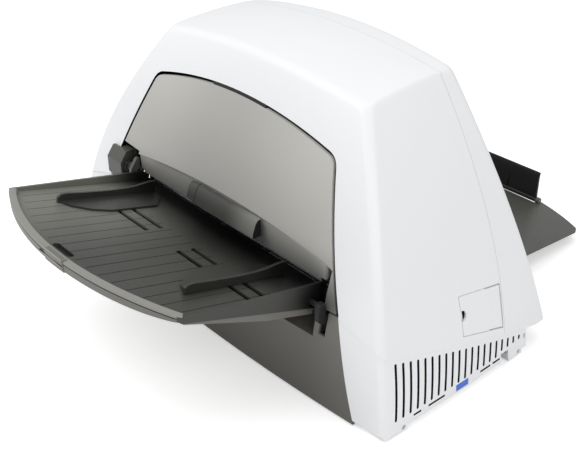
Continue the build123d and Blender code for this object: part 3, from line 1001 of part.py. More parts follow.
with BuildPart() as fan_rotor:
    rod_x((247.4, 258.0), FAN_Y, FAN_Z, 10.0)
    for index in range(7):
        with BuildSketch(Plane.YZ.offset(249.0)):
            with Locations((FAN_Y, FAN_Z)):
                with PolarLocations(17.0, 1, start_angle=index * 360.0 / 7):
                    Rectangle(18.0, 2.2, rotation=18.0)
        extrude(amount=8.0)
    rod_x((247.0, 256.2), FAN_Y, FAN_Z, 2.0 + RUN_GAP, mode=Mode.SUBTRACT)
write(fan_rotor, "fan_rotor")

with BuildPart() as rubber_feet:
    for side in (-1, 1):
        for y in (sum(FRONT_FOOT_Y) / 2, sum(REAR_FOOT_Y) / 2):
            rod_z(side * 271.5, y, (0.0, BASE_FOOT_Z), 7.5)
write(rubber_feet, "rubber_feet")

with BuildPart() as lug_screws:
    for side in (-1, 1):
        for y in LUG_SCREW_Y:
            rod_x(sorted((side * LUG_SCREW_X, side * (side_x(y, LUG_SCREW_Z) - BASE_INSET - 1.0))), y, LUG_SCREW_Z, LUG_SCREW_RADIUS)
write(lug_screws, "lug_screws")

with BuildPart() as power_inlet:
    block(INLET_X, (BASE_REAR_Y - 18.0, BASE_REAR_Y + 0.6), INLET_Z)
    block((INLET_X[0] + 4.0, INLET_X[1] - 4.0), (BASE_REAR_Y - 8.0, BASE_REAR_Y + 2.0), (INLET_Z[0] + 2.0, INLET_Z[1] - 2.0),
          mode=Mode.SUBTRACT)
    for x in (-236.0, -230.0, -224.0):
        block((x - 1.0, x + 1.0), (BASE_REAR_Y - 9.0, BASE_REAR_Y - 1.0), (17.5, 21.5))
write(power_inlet, "power_inlet")

with BuildPart() as data_port:
    block(DATA_X, (BASE_REAR_Y - 14.0, BASE_REAR_Y + 0.6), DATA_Z)
    block((DATA_X[0] + 2.0, DATA_X[1] - 2.0), (BASE_REAR_Y - 6.0, BASE_REAR_Y + 2.0), (DATA_Z[0] + 2.0, DATA_Z[1] - 2.0),
          mode=Mode.SUBTRACT)
write(data_port, "data_port")

with BuildPart() as power_switch:
    rod_x(SWITCH_X, BASE_REAR_Y - 1.5, SWITCH_Z, 5.0)
    rod_x((SWITCH_X[0] - 1.6, SWITCH_X[1] + 1.6), BASE_REAR_Y - 1.5, SWITCH_Z, 0.9)
write(power_switch, "power_switch")

with BuildPart() as door_well:
    block((238.0, 330.0), (-38.5, 17.0), (60.0, 98.0))
    block((240.0, 330.0), (-36.5, 15.0), (62.0, 96.0), mode=Mode.SUBTRACT)
    add(case_body(WALL + 0.4), mode=Mode.INTERSECT)
write(door_well, "door_well")
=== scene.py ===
"""Looks of a sheet-fed document scanner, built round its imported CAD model.

The frame is the CAD model's: metres, the floor at z = 0, -Y the input tray, +Y the output tray, +X the vented side.
"""
from __future__ import annotations

import json
import logging
import math
from dataclasses import dataclass, field
from enum import Enum
from typing import Callable, Sequence

import bmesh
import bpy
import numpy as np
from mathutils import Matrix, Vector

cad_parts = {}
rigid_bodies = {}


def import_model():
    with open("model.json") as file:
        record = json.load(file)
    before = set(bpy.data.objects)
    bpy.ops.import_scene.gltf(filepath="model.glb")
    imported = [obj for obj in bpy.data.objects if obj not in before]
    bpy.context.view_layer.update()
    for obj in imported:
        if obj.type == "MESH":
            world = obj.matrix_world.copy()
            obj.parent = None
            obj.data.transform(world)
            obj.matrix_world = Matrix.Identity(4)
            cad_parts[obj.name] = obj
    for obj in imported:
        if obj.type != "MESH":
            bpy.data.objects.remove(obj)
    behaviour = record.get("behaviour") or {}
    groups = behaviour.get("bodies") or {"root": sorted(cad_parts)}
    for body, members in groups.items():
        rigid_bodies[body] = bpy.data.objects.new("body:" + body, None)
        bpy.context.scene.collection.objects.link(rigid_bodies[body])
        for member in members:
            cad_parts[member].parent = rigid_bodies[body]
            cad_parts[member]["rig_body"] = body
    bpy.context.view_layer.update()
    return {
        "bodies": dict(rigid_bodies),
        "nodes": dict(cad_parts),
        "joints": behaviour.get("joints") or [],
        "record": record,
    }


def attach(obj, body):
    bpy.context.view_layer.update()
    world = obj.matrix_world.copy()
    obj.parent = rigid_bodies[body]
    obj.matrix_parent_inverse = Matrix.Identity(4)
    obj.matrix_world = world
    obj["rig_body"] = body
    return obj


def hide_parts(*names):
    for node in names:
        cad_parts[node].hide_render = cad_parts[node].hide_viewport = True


log = logging.getLogger("scanner")
MM = 0.001


class Socket:
    """A shader value whose operators add Math nodes."""

    def __init__(self, tree: bpy.types.NodeTree, link: bpy.types.NodeSocket) -> None:
        """Wrap one output socket of a node tree."""
        self.tree, self.link = tree, link

    def _math(self, operation: str, first: object, second: object) -> "Socket":
        """Add a Math node on two values, each a Socket or a number."""
        node = self.tree.nodes.new("ShaderNodeMath")
        node.operation = operation
        for place, value in zip(node.inputs, (first, second)):
            if isinstance(value, Socket):
                self.tree.links.new(value.link, place)
            else:
                place.default_value = float(value)
        return Socket(self.tree, node.outputs[0])

    def __add__(self, other: object) -> "Socket":
        """Sum."""
        return self._math("ADD", self, other)

    def __sub__(self, other: object) -> "Socket":
        """Difference."""
        return self._math("SUBTRACT", self, other)

    def __rsub__(self, other: object) -> "Socket":
        """Difference from a number."""
        return self._math("SUBTRACT", other, self)

    def __mul__(self, other: object) -> "Socket":
        """Product."""
        return self._math("MULTIPLY", self, other)

    __radd__ = __add__
    __rmul__ = __mul__


@dataclass
class Recipe:
    """A material's node tree while it is put together."""

    material: bpy.types.Material

    @property
    def tree(self) -> bpy.types.NodeTree:
        """The material's node tree."""
        return self.material.node_tree

    def node(self, kind: str, settings: dict[str, object] | None = None, **inputs: object) -> bpy.types.Node:
        """Add a node.

        Args:
            kind: the node's type name.
            settings: properties set before its sockets.
            inputs: socket values or links by name, with underscores for spaces.

        Returns:
            The node.
        """
        made = self.tree.nodes.new(kind)
        for key, value in (settings or {}).items():
            setattr(made, key, value)
        for key, value in inputs.items():
            place = made.inputs[key.replace("_", " ")]
            if isinstance(value, Socket):
                self.tree.links.new(value.link, place)
            elif isinstance(value, bpy.types.NodeSocket):
                self.tree.links.new(value, place)
            else:
                place.default_value = value
        return made

    def place(self) -> bpy.types.NodeSocket:
        """The point's own coordinates in metres."""
        return self.node("ShaderNodeTexCoord").outputs["Object"]

    def noise(self, scale: float, detail: float = 2.0, rough: float = 0.5) -> Socket:
        """Noise from 0 to 1 at so many cells a metre."""
        made = self.node("ShaderNodeTexNoise", Vector=self.place(), Scale=scale, Detail=detail, Roughness=rough)
        return Socket(self.tree, made.outputs["Fac"])

    def ramp(self, colour: bpy.types.NodeSocket, axis: int, start: float, end: float, low: float,
             high: float) -> bpy.types.NodeSocket:
        """Colour times a factor that goes smoothly from low at start to high at end along an axis, in metres."""
        part = self.node("ShaderNodeSeparateXYZ", Vector=self.place()).outputs[axis]
        span = self.node("ShaderNodeMapRange", {"interpolation_type": "SMOOTHSTEP"}, Value=part)
        for name, value in (("From Min", start), ("From Max", end), ("To Min", low), ("To Max", high)):
            span.inputs[name].default_value = value
        factor = span.outputs["Result"]
        return self.node("ShaderNodeVectorMath", {"operation": "SCALE"}, Vector=colour, Scale=factor).outputs["Vector"]

    def blend(self, factor: Socket, low: Sequence[float], high: Sequence[float]) -> bpy.types.NodeSocket:
        """Colour between two colours by a factor."""
        mix = self.node("ShaderNodeMix", {"data_type": "RGBA"})
        self.tree.links.new(factor.link, mix.inputs["Factor"])
        mix.inputs["A"].default_value = (*low, 1.0)
        mix.inputs["B"].default_value = (*high, 1.0)
        return mix.outputs["Result"]


def linear(grey: Sequence[int]) -> tuple[float, float, float]:
    """Linear colour from 0 to 255 display values, by the sRGB curve."""
    values = np.asarray(grey, float) / 255.0
    curve = np.where(values <= 0.04045, values / 12.92, ((values + 0.055) / 1.055) ** 2.4)
    return tuple(float(v) for v in curve)


@dataclass(frozen=True)
class Finish:
    """A moulded, painted or metal surface: mottled colour, roughness that wanders, a fine moulded grain, and ramps of
    painted light and shade along an axis.
    """

    name: str
    colour: tuple[int, int, int]
    roughness: float = 0.45
    grain_scale: float = 2600.0
    grain_depth: float = 0.05
    mottle: float = 0.03
    mottle_scale: float = 9.0
    metallic: float = 0.0
    coat: float = 0.0
    specular: float = 0.5
    stretch: tuple[float, float, float] = (1.0, 1.0, 1.0)
    alpha: float = 1.0
    # shade: ramps of axis, start, end, low factor and high factor that paint light and shade into the colour.
    shade: tuple[tuple[int, float, float, float, float], ...] = ()

    def make(self) -> bpy.types.Material:
        """Build the material."""
        material = bpy.data.materials.new(self.name)
        material.use_nodes = True
        recipe = Recipe(material)
        shader = material.node_tree.nodes["Principled BSDF"]
        base = np.array(linear(self.colour))
        drift = recipe.noise(self.mottle_scale, 3.0)
        colour = recipe.blend(drift, tuple(base * (1 - self.mottle)), tuple(np.minimum(base * (1 + self.mottle), 1.0)))
        mapped = recipe.node("ShaderNodeMapping", Vector=recipe.place(), Scale=Vector(self.stretch))
        grain = recipe.node("ShaderNodeTexNoise", Vector=mapped.outputs["Vector"], Scale=self.grain_scale, Detail=2.0,
                            Roughness=0.6)
        wander = recipe.noise(self.mottle_scale * 4, 4.0) * 0.10 + (self.roughness - 0.05)
        bump = recipe.node("ShaderNodeBump", Height=grain.outputs["Fac"], Strength=self.grain_depth, Distance=0.0004)
        # Painted light and shade: the colour is scaled along each ramp.
        for axis, start, end, low, high in self.shade:
            colour = recipe.ramp(colour, axis, start, end, low, high)
        links = material.node_tree.links
        links.new(colour, shader.inputs["Base Color"])
        links.new(wander.link, shader.inputs["Roughness"])
        links.new(bump.outputs["Normal"], shader.inputs["Normal"])
        shader.inputs["Metallic"].default_value = self.metallic
        shader.inputs["Coat Weight"].default_value = self.coat
        shader.inputs["Specular IOR Level"].default_value = self.specular
        if self.alpha < 1.0:
            shader.inputs["Transmission Weight"].default_value = 1.0
            shader.inputs["IOR"].default_value = 1.45
        return material


class Paint(Enum):
    """The scanner's finishes."""

    SHELL = Finish("shell_light_grey", (240, 241, 243), 0.42, mottle=0.008, grain_depth=0.03)
    # COVER's ramps are painted light: shade darkening the leg towards its foot, a sheen lighter towards the top, and a
    # reflection with a darker band in the middle and lighter to the right.
    COVER = Finish("cover_warm_grey", (192, 191, 186), 0.33, mottle=0.02, grain_depth=0.02,
                   shade=((2, 0.118, 0.178, 0.24, 0.92), (2, 0.16, 0.26, 0.92, 1.02), (0, -0.13, -0.02, 1.06, 0.9),
                          (0, 0.0, 0.15, 1.0, 1.2)))
    # TRAY's ramps are painted light: a shadow darkening the deck towards the throat under the cover, and a sheen
    # lighter to the left.
    TRAY = Finish("tray_dark_grey", (90, 90, 85), 0.4, mottle=0.05, grain_depth=0.10,
                  shade=((1, -0.225, -0.157, 1.0, 0.04), (0, -0.15, 0.05, 1.85, 0.42)))
    # GUIDE's ramp is a painted shadow, darker towards the throat under the cover.
    GUIDE = Finish("guide_dark_grey", (48, 48, 45), 0.36, mottle=0.05, grain_depth=0.08,
                   shade=((1, -0.215, -0.165, 1.0, 0.25),))
    RIM = Finish("tray_rim_grey", (140, 140, 134), 0.36, mottle=0.04, grain_depth=0.06)
    OUTLET = Finish("output_tray_grey", (80, 80, 76), 0.42, mottle=0.05, grain_depth=0.08)
    # PANEL's ramp is painted shade, darker towards the floor.
    PANEL = Finish("panel_dark_grey", (113, 111, 106), 0.38, mottle=0.05, grain_depth=0.08,
                   shade=((2, 0.0, 0.1, 0.72, 1.0),))
    BLACK = Finish("moulding_black", (22, 22, 22), 0.5, mottle=0.06, grain_depth=0.08)
    DARK = Finish("unlit_hollow", (12, 12, 12), 0.8, mottle=0.1, grain_depth=0.0)
    POD = Finish("pod_dark_grey", (78, 78, 74), 0.38, mottle=0.04, grain_depth=0.06)
    # GRIP's ramp is a painted highlight, lighter towards the grip's right end.
    GRIP = Finish("grip_dark_grey", (84, 84, 80), 0.36, mottle=0.04, grain_depth=0.06,
                  shade=((0, 0.03, 0.084, 0.62, 2.1),))
    BLUE = Finish("port_plug_blue", (52, 104, 214), 0.3, mottle=0.05, coat=0.3)
    STEEL = Finish("turned_steel", (190, 192, 196), 0.28, metallic=1.0, grain_depth=0.06, stretch=(1.0, 12.0, 12.0))
    ZINC = Finish("zinc_plated_sheet", (168, 172, 178), 0.38, metallic=0.9, grain_depth=0.08, mottle=0.12,
                  mottle_scale=60.0)
    RUBBER = Finish("roller_rubber", (44, 44, 46), 0.75, grain_scale=1800.0, grain_depth=0.2)
    GLASS = Finish("scan_glass", (225, 240, 238), 0.05, grain_depth=0.0, mottle=0.0, alpha=0.3)
    BOARD = Finish("board_green", (24, 92, 52), 0.4, mottle=0.25, mottle_scale=220.0, coat=0.3)
    NYLON = Finish("natural_nylon", (214, 212, 200), 0.45, mottle=0.03)
    MOTOR = Finish("motor_black_paint", (62, 62, 64), 0.4, metallic=0.3)


@dataclass
class Workshop:
    """Makes pieces and gives them their finish and their body."""

    frame: dict
    materials: dict[Paint, bpy.types.Material] = field(default_factory=dict)

    def paint(self, piece: bpy.types.Object, finish: Paint) -> None:
        """Give every face of a piece one finish."""
        if finish not in self.materials:
            self.materials[finish] = finish.value.make()
        if not piece.material_slots:
            piece.data.materials.append(None)
        for place in piece.material_slots:
            place.material = self.materials[finish]

    def mesh(self, name: str, points: np.ndarray, faces: Sequence[Sequence[int]]) -> bpy.types.Object:
        """A piece from points in metres and faces."""
        data = bpy.data.meshes.new(name)
        data.from_pydata(points.reshape(-1, 3).tolist(), [], [list(face) for face in faces])
        data.update()
        piece = bpy.data.objects.new(name, data)
        bpy.context.scene.collection.objects.link(piece)
        return piece

    def surface(self, name: str, grid: np.ndarray) -> bpy.types.Object:
        """A piece from a grid of points, rows by columns by 3, joined in quads."""
        rows, columns = grid.shape[:2]
        index = np.arange(rows * columns).reshape(rows, columns)
        quads = np.stack([index[:-1, :-1], index[:-1, 1:], index[1:, 1:], index[1:, :-1]], axis=-1).reshape(-1, 4)
        return self.mesh(name, grid, quads)

    def prism(self, name: str, outline: np.ndarray, axis: int, low: float, high: float) -> bpy.types.Object:
        """A closed bar: an outline in the plane across an axis, carried from low to high along it."""
        others = [i for i in range(3) if i != axis]
        count = len(outline)
        points = np.zeros((2, count, 3))
        points[:, :, others[0]], points[:, :, others[1]] = outline[:, 0], outline[:, 1]
        points[0, :, axis], points[1, :, axis] = low, high
        step = np.arange(count)
        after = (step + 1) % count
        sides = np.stack([step, after, after + count, step + count], axis=1).tolist()
        piece = self.mesh(name, points, [*sides, step[::-1].tolist(), (step + count).tolist()])
        self.orient(piece)
        return piece

    def orient(self, piece: bpy.types.Object) -> None:
        """Turn every face outwards."""
        work = bmesh.new()
        work.from_mesh(piece.data)
        bmesh.ops.remove_doubles(work, verts=work.verts, dist=1e-6)
        bmesh.ops.recalc_face_normals(work, faces=work.faces)
        work.to_mesh(piece.data)
        work.free()

    def settle(self, piece: bpy.types.Object) -> None:
        """Put a piece's modifiers into its mesh."""
        bpy.context.view_layer.update()
        graph = bpy.context.evaluated_depsgraph_get()
        data = bpy.data.meshes.new_from_object(piece.evaluated_get(graph))
        old, piece.data = piece.data, data
        piece.modifiers.clear()
        bpy.data.meshes.remove(old)

    def combine(self, piece: bpy.types.Object, tool: bpy.types.Object, operation: str) -> None:
        """Cut, join or intersect a piece with a tool, which is used up."""
        change = piece.modifiers.new(operation.lower(), "BOOLEAN")
        change.operation, change.solver, change.object = operation, "EXACT", tool
        self.settle(piece)
        data = tool.data
        bpy.data.objects.remove(tool)
        bpy.data.meshes.remove(data)

    def finish_edges(self, piece: bpy.types.Object, width: float, segments: int = 2, angle: float = 35.0) -> None:
        """Round the sharp edges by a width in millimetres and shade the rest smooth."""
        if width > 0:
            edge = piece.modifiers.new("edges", "BEVEL")
            edge.width, edge.segments, edge.limit_method = width * MM, segments, "ANGLE"
            edge.angle_limit = math.radians(angle)
            edge.use_clamp_overlap = True
            edge.harden_normals = False
            self.settle(piece)
        smooth(piece, 32.0)
        even = piece.modifiers.new("even", "WEIGHTED_NORMAL")
        even.keep_sharp, even.weight = True, 80

    def darken(self, piece: bpy.types.Object, chosen: Callable[[np.ndarray, np.ndarray], np.ndarray],
               finish: "Paint | None" = None) -> None:
        """Give some faces of a placed piece another finish.

        Args:
            piece: the piece, already painted.
            chosen: says which faces from their centres in millimetres and their normals.
            finish: the finish they get, or the unlit one.
        """
        count = len(piece.data.polygons)
        centres, normals = np.zeros(count * 3), np.zeros(count * 3)
        piece.data.polygons.foreach_get("center", centres)
        piece.data.polygons.foreach_get("normal", normals)
        finish = finish or Paint.DARK
        if finish not in self.materials:
            self.materials[finish] = finish.value.make()
        piece.data.materials.append(self.materials[finish])
        mask = chosen(centres.reshape(-1, 3) / MM, normals.reshape(-1, 3))
        slots = np.where(mask, len(piece.data.materials) - 1, 0).astype(np.int32)
        piece.data.polygons.foreach_set("material_index", slots)
        piece.data.update()

    def place(self, piece: bpy.types.Object, finish: Paint, body: str, nodes: Sequence[str] = ()) -> bpy.types.Object:
        """Finish a piece: its material, its body and the CAD nodes it stands for."""
        self.paint(piece, finish)
        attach(piece, body)
        if nodes:
            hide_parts(*nodes)
        log.info("%s: %d faces on %s", piece.name, len(piece.data.polygons), body)
        return piece

    def box(self, name: str, spans: Sequence[Sequence[float]]) -> bpy.types.Object:
        """A closed box between three pairs of limits in millimetres."""
        (x0, x1), ys, zs = spans
        outline = np.array([(ys[0], zs[0]), (ys[1], zs[0]), (ys[1], zs[1]), (ys[0], zs[1])])
        return self.prism(name, outline * MM, 0, x0 * MM, x1 * MM)

    def copy_node(self, node: str, name: str) -> bpy.types.Object:
        """A merged copy of a CAD node's form."""
        piece = bpy.data.objects.new(name, self.frame["nodes"][node].data.copy())
        bpy.context.scene.collection.objects.link(piece)
        piece.data.materials.clear()
        self.orient(piece)
        return piece

    def sweep(self, name: str, path: np.ndarray, section: np.ndarray, heights: np.ndarray,
              depths: np.ndarray | float = 1.0) -> bpy.types.Object:
        """A closed strip whose section follows a path in plan.

        Args:
            name: the piece's name.
            path: N by 2 places in plan, walked with the outside on the right.
            section: M by 2 pairs of distance outwards and height.
            heights: N heights added to the section's.
            depths: N shares of the section's depth under its top.

        Returns:
            The piece, from millimetres.
        """
        along = np.gradient(path, axis=0)
        along /= np.linalg.norm(along, axis=1, keepdims=True)
        outward = np.stack([along[:, 1], -along[:, 0]], axis=1)
        plan = path[:, None, :] + outward[:, None, :] * section[None, :, :1]
        top = section[:, 1].max()
        deep = (section[None, :, 1] - top) * np.broadcast_to(depths, heights.shape)[:, None]
        grid = np.concatenate([plan, (heights[:, None] + top + deep)[..., None]], axis=-1)
        return self.tube(name, grid)

    def tube(self, name: str, grid: np.ndarray) -> bpy.types.Object:
        """A closed tube from rows of rings in millimetres, capped at both ends."""
        rows, columns = grid.shape[:2]
        index = np.arange(rows * columns).reshape(rows, columns)
        turn = np.roll(index, -1, axis=1)
        quads = np.stack([index[:-1], turn[:-1], turn[1:], index[1:]], axis=-1).reshape(-1, 4).tolist()
        piece = self.mesh(name, grid * MM, [*quads, index[0, ::-1].tolist(), index[-1].tolist()])
        self.orient(piece)
        return piece

    def dressed(self, node: str, finish: Paint, width: float = 0.4, angle: float = 35.0,
                cuts: Sequence[bpy.types.Object] = ()) -> bpy.types.Object:
        """A CAD node's own form, merged, cut and with rounded edges, in place of the node."""
        source = self.frame["nodes"][node]
        piece = self.copy_node(node, f"{node}_skin")
        for tool in cuts:
            self.combine(piece, tool, "DIFFERENCE")
        flat = piece.modifiers.new("flat", "DECIMATE")
        flat.decimate_type, flat.angle_limit = "DISSOLVE", math.radians(0.4)
        self.settle(piece)
        self.finish_edges(piece, width, 2, angle)
        return self.place(piece, finish, source["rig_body"], [node])


def smooth(piece: bpy.types.Object, angle: float) -> None:
    """Shade a piece smooth except across edges sharper than an angle in degrees."""
    work = bmesh.new()
    work.from_mesh(piece.data)
    limit = math.radians(angle)
    for face in work.faces:
        face.smooth = True
    for edge in work.edges:
        if len(edge.link_faces) == 2 and edge.calc_face_angle(0.0) > limit:
            edge.smooth = False
    work.to_mesh(piece.data)
    work.free()


@dataclass(frozen=True)
class CaseForm:
    """The flared case as formulas, in millimetres, the same as the CAD model's."""

    corner_z: float = 302.5
    top_half: float = 165.2
    flare: tuple[float, float] = (0.709, 0.001026)
    front: tuple[float, float, float] = (-84.0, 0.5295, 0.000853)
    rear: tuple[float, float, float] = (51.0, 0.09, 0.00038)
    bulge: tuple[float, float] = (14.7, 12.1)
    side_bulge: float = 2.5
    rear_bulge: float = 8.0
    corner: float = 9.0
    crown: tuple[float, float, float] = (165.0, 15.2, 640.0)
    crown_peak: tuple[float, float] = (8.0, 309.0)
    seam: float = 26.0

    def half(self, z: np.ndarray) -> np.ndarray:
        """Half width at a height: the top half width plus a flare that eases off."""
        fall = self.corner_z - z
        return self.top_half + self.flare[0] * fall - self.flare[1] * fall**2

    def front_y(self, z: np.ndarray) -> np.ndarray:
        """Y of the front corners at a height."""
        fall = self.corner_z - z
        return self.front[0] - self.front[1] * fall + self.front[2] * fall**2

    def rear_y(self, z: np.ndarray) -> np.ndarray:
        """Y of the rear corners at a height."""
        fall = self.corner_z - z
        return self.rear[0] + self.rear[1] * fall + self.rear[2] * fall**2

    def front_face(self, x: np.ndarray, z: np.ndarray) -> np.ndarray:
        """Y of the bowed front: the corner line less a bulge that fades with the square of x."""
        bow = self.bulge[0] + (self.bulge[1] - self.bulge[0]) * z / self.corner_z
        return self.front_y(z) - bow * (1 - (x / self.half(z)) ** 2)

    def side_face(self, y: np.ndarray, z: np.ndarray) -> np.ndarray:
        """X of the bowed side: the half width plus a bulge that fades with the square of y."""
        middle, reach = (self.front_y(z) + self.rear_y(z)) / 2, (self.rear_y(z) - self.front_y(z)) / 2
        return self.half(z) + self.side_bulge * (1 - ((y - middle) / reach) ** 2)

    def top(self, x: np.ndarray, y: np.ndarray) -> np.ndarray:
        """Height of the crowned top: an arc across X turned about a low axis along X."""
        half, rise, radius = self.crown
        arc = (half**2 + rise**2) / (2 * rise)
        peak_y, peak_z = self.crown_peak
        profile = peak_z + rise - arc + np.sqrt(arc**2 - x**2)
        reach = profile - (peak_z - radius)
        return peak_z - radius + np.sqrt(reach**2 - (y - peak_y) ** 2)

    def wall(self, t: np.ndarray, z: np.ndarray, seam: float, inset: float = 0.0) -> tuple[np.ndarray, np.ndarray]:
        """A point of the right half of the outline at a height.

        Args:
            t: 0 to 1 along the front from its middle, 1 to 2 round the front corner, 2 to 3 along the side to the seam,
                3 to 4 on to the rear corner, 4 to 5 round it, 5 to 6 along the rear to its middle.
            z: height of each point.
            seam: y where t is 3.
            inset: distance inside the outer surface.

        Returns:
            x and y.
        """
        t, z = np.broadcast_arrays(t, z)
        r = self.corner
        wide, front, rear = self.half(z), self.front_y(z), self.rear_y(z)
        x_front = np.clip(t, 0, 1) * (wide - r)
        a = (wide - r, self.front_face(wide - r, z))
        c = (self.side_face(front + r, z), front + r)
        u = np.clip(t - 1, 0, 1)
        weight = math.sqrt(0.5)
        blend = (1 - u) ** 2 + 2 * weight * u * (1 - u) + u**2
        x_corner = ((1 - u) ** 2 * a[0] + 2 * weight * u * (1 - u) * wide + u**2 * c[0]) / blend
        y_corner = ((1 - u) ** 2 * a[1] + 2 * weight * u * (1 - u) * front + u**2 * c[1]) / blend
        y_side = np.where(t < 3, front + r + np.clip(t - 2, 0, 1) * (seam - front - r),
                          seam + np.clip(t - 3, 0, 1) * (rear - r - seam))
        rear_face = lambda x: rear + self.rear_bulge * (1 - (x / wide) ** 2)
        v = np.clip(t - 4, 0, 1)
        mix = (1 - v) ** 2 + 2 * weight * v * (1 - v) + v**2
        d = (self.side_face(rear - r, z), rear - r)
        e = (wide - r, rear_face(wide - r))
        x_back = ((1 - v) ** 2 * d[0] + 2 * weight * v * (1 - v) * wide + v**2 * e[0]) / mix
        y_back = ((1 - v) ** 2 * d[1] + 2 * weight * v * (1 - v) * rear + v**2 * e[1]) / mix
        x_rear = (1 - np.clip(t - 5, 0, 1)) * (wide - r)
        parts = [t <= 1, t <= 2, t <= 4, t <= 5]
        x = np.select(parts, [x_front, x_corner, self.side_face(y_side, z), x_back], x_rear)
        y = np.select(parts, [self.front_face(x_front, z), y_corner, y_side, y_back], rear_face(x_rear))
        shrink = 1 - inset / wide
        middle = (front + rear) / 2
        return x * shrink, middle + (y - middle) * (1 - inset / ((rear - front) / 2))

    def edge_height(self, t: np.ndarray, seam: float) -> np.ndarray:
        """Height at which the wall meets the crowned top, by repeated substitution."""
        z = np.full_like(t, self.corner_z + 4.0)
        for _ in range(24):
            z = self.top(*self.wall(t, z, seam))
        return z


@dataclass
class Housing:
    """The two light shells, the base, the dark front panel and the small door."""

    shop: Workshop
    form: CaseForm = CaseForm()
    seam_gap: float = 0.5
    wall_thickness: float = 3.0
    edge_radius: float = 7.0
    edge_line: tuple[tuple[float, float], ...] = ((-230.0, 112.13), (66.0, 31.02), (84.0, 26.5), (140.0, 26.5))
    front_seam: tuple[float, float, float] = (208.4, 112.0, 0.3185)
    cover_arch: tuple[float, float, float] = (152.1, 250.9, 21.5)
    cover_foot: tuple[float, float] = (206.4, 114.2)
    cover_gap: float = 3.4

    def lower_edge(self, t: np.ndarray, seam: float) -> np.ndarray:
        """Height of a shell's lower edge: the front seam, then the sloping side line, by substitution."""
        z = np.full_like(t, 95.0)
        ys, zs = zip(*self.edge_line)
        for _ in range(16):
            x, y = self.form.wall(t, z, seam)
            front = self.front_seam[1] - self.front_seam[2] * np.maximum(np.abs(x) - self.front_seam[0], 0)
            z = np.where(t < 1.5, front, np.interp(y, ys, zs))
        return z

    def shell_grid(self, ts: np.ndarray, seam: float, reach: Callable[[np.ndarray], np.ndarray],
                   low: np.ndarray) -> np.ndarray:
        """Right half of a shell: wall rows, a rounded top edge, then the crowned top up to the seam.

        Args:
            ts: outline places of the columns.
            seam: y of the shell's seam edge.
            reach: share of the seam's half width that each column's top row ends at.
            low: height of each column's lower edge.

        Returns:
            Points in millimetres, rows by columns by 3.
        """
        form, r = self.form, self.edge_radius
        edge = form.edge_height(ts, seam)
        rise = np.linspace(0, 1, 72)[:, None]
        z_wall = low + (edge - r - low) * rise
        x, y = form.wall(ts, z_wall, seam)
        wall = np.stack([x, y, z_wall], axis=-1)
        x_edge, y_edge = form.wall(ts, edge, seam)
        corner = form.edge_height(np.array([3.0]), seam)
        seam_half = float(form.wall(np.array([3.0]), corner, seam)[0][0])
        x_end, y_end = seam_half * reach(ts), np.full_like(ts, seam)
        away = np.hypot(x_end - x_edge, y_end - y_edge)
        first = np.clip(r / np.maximum(away, 1e-6), 0, 1)
        x_in, y_in = x_edge + (x_end - x_edge) * first, y_edge + (y_end - y_edge) * first
        start, bend = wall[-1], np.stack([x_edge, y_edge, edge], axis=-1)
        stop = np.stack([x_in, y_in, form.top(x_in, y_in)], axis=-1)
        u = np.linspace(0, 1, 8)[1:, None, None]
        round_over = (1 - u) ** 2 * start + 2 * u * (1 - u) * bend + u**2 * stop
        w = np.linspace(0, 1, 28)[1:, None]
        x_top, y_top = x_in + (x_end - x_in) * w, y_in + (y_end - y_in) * w
        top = np.stack([x_top, y_top, form.top(x_top, y_top)], axis=-1)
        return np.concatenate([wall, round_over, top])

    def mirrored(self, grid: np.ndarray) -> np.ndarray:
        """A right half joined to its mirror image across x = 0, whose middle column is the grid's first."""
        left = grid[:, :0:-1].copy()
        left[..., 0] *= -1
        return np.concatenate([left, grid], axis=1)

    def arch(self, grow: float) -> np.ndarray:
        """Outline of the cover's arch in x and z: a bowed top, rounded corners and straight sides, grown all round."""
        half, top, rise = self.cover_arch
        foot, low = self.cover_foot
        half, top, foot = half + grow * 0.8, top + grow, foot + grow
        x = np.linspace(-half, half, 49)
        z = top + rise * (1 - (x / half) ** 2)
        right = np.array([half, top])
        r = 7.0 + grow
        down = (np.array([foot, low]) - right) / np.linalg.norm(np.array([foot, low]) - right)
        keep = np.abs(x) < half - r
        lead = np.array([half - r, top + rise * (1 - ((half - r) / half) ** 2)])
        u = np.linspace(0, 1, 9)[:, None]
        bend = (1 - u) ** 2 * lead + 2 * u * (1 - u) * right + u**2 * (right + down * r)
        right_side = np.concatenate([bend, [[foot, low], [foot, low - 3 * grow - 0.01]]])
        left_side = right_side[::-1] * (-1, 1)
        return np.concatenate([left_side, np.stack([x[keep], z[keep]], axis=1), right_side])

    def front_shell(self) -> None:
        """Front shell: its grid thickened inwards, with the cover's arch and the door's opening cut out."""
        seam = self.form.seam - self.seam_gap / 2
        ts = np.concatenate([np.linspace(0, 1, 56)[:-1], np.linspace(1, 2, 9)[:-1], np.linspace(2, 3, 44)])
        low = self.lower_edge(ts, seam)
        grid = self.shell_grid(ts, seam, lambda t: np.interp(t, [0, 1, 2, 3], [0, 0.80, 0.83, 1.0]), low)
        piece = self.shop.surface("front_shell_form", self.mirrored(grid) * MM)
        self.thicken(piece)
        arch = self.shop.prism("arch_cut", self.arch(self.cover_gap) * MM, 1, -0.26, -0.05)
        self.shop.combine(piece, arch, "DIFFERENCE")
        top, slope, land, gap = 112.2, 0.167, 8.5, 0.8
        ys, zs = zip(*self.edge_line)
        door_front, door_back = -41.0, 23.4
        y0, y1 = door_front - gap, door_back + gap
        door = np.array([(y0, top + gap), (y1, top + gap - slope * (y1 - y0)), (y1, np.interp(y1, ys, zs) + land - gap),
                         (y0, np.interp(y0, ys, zs) + land - gap)])
        self.shop.combine(piece, self.shop.prism("door_cut", door * MM, 0, 0.2, 0.32), "DIFFERENCE")
        self.shop.finish_edges(piece, 0.5, 2, 50.0)
        self.shop.place(piece, Paint.SHELL, "case", ["front_shell"])
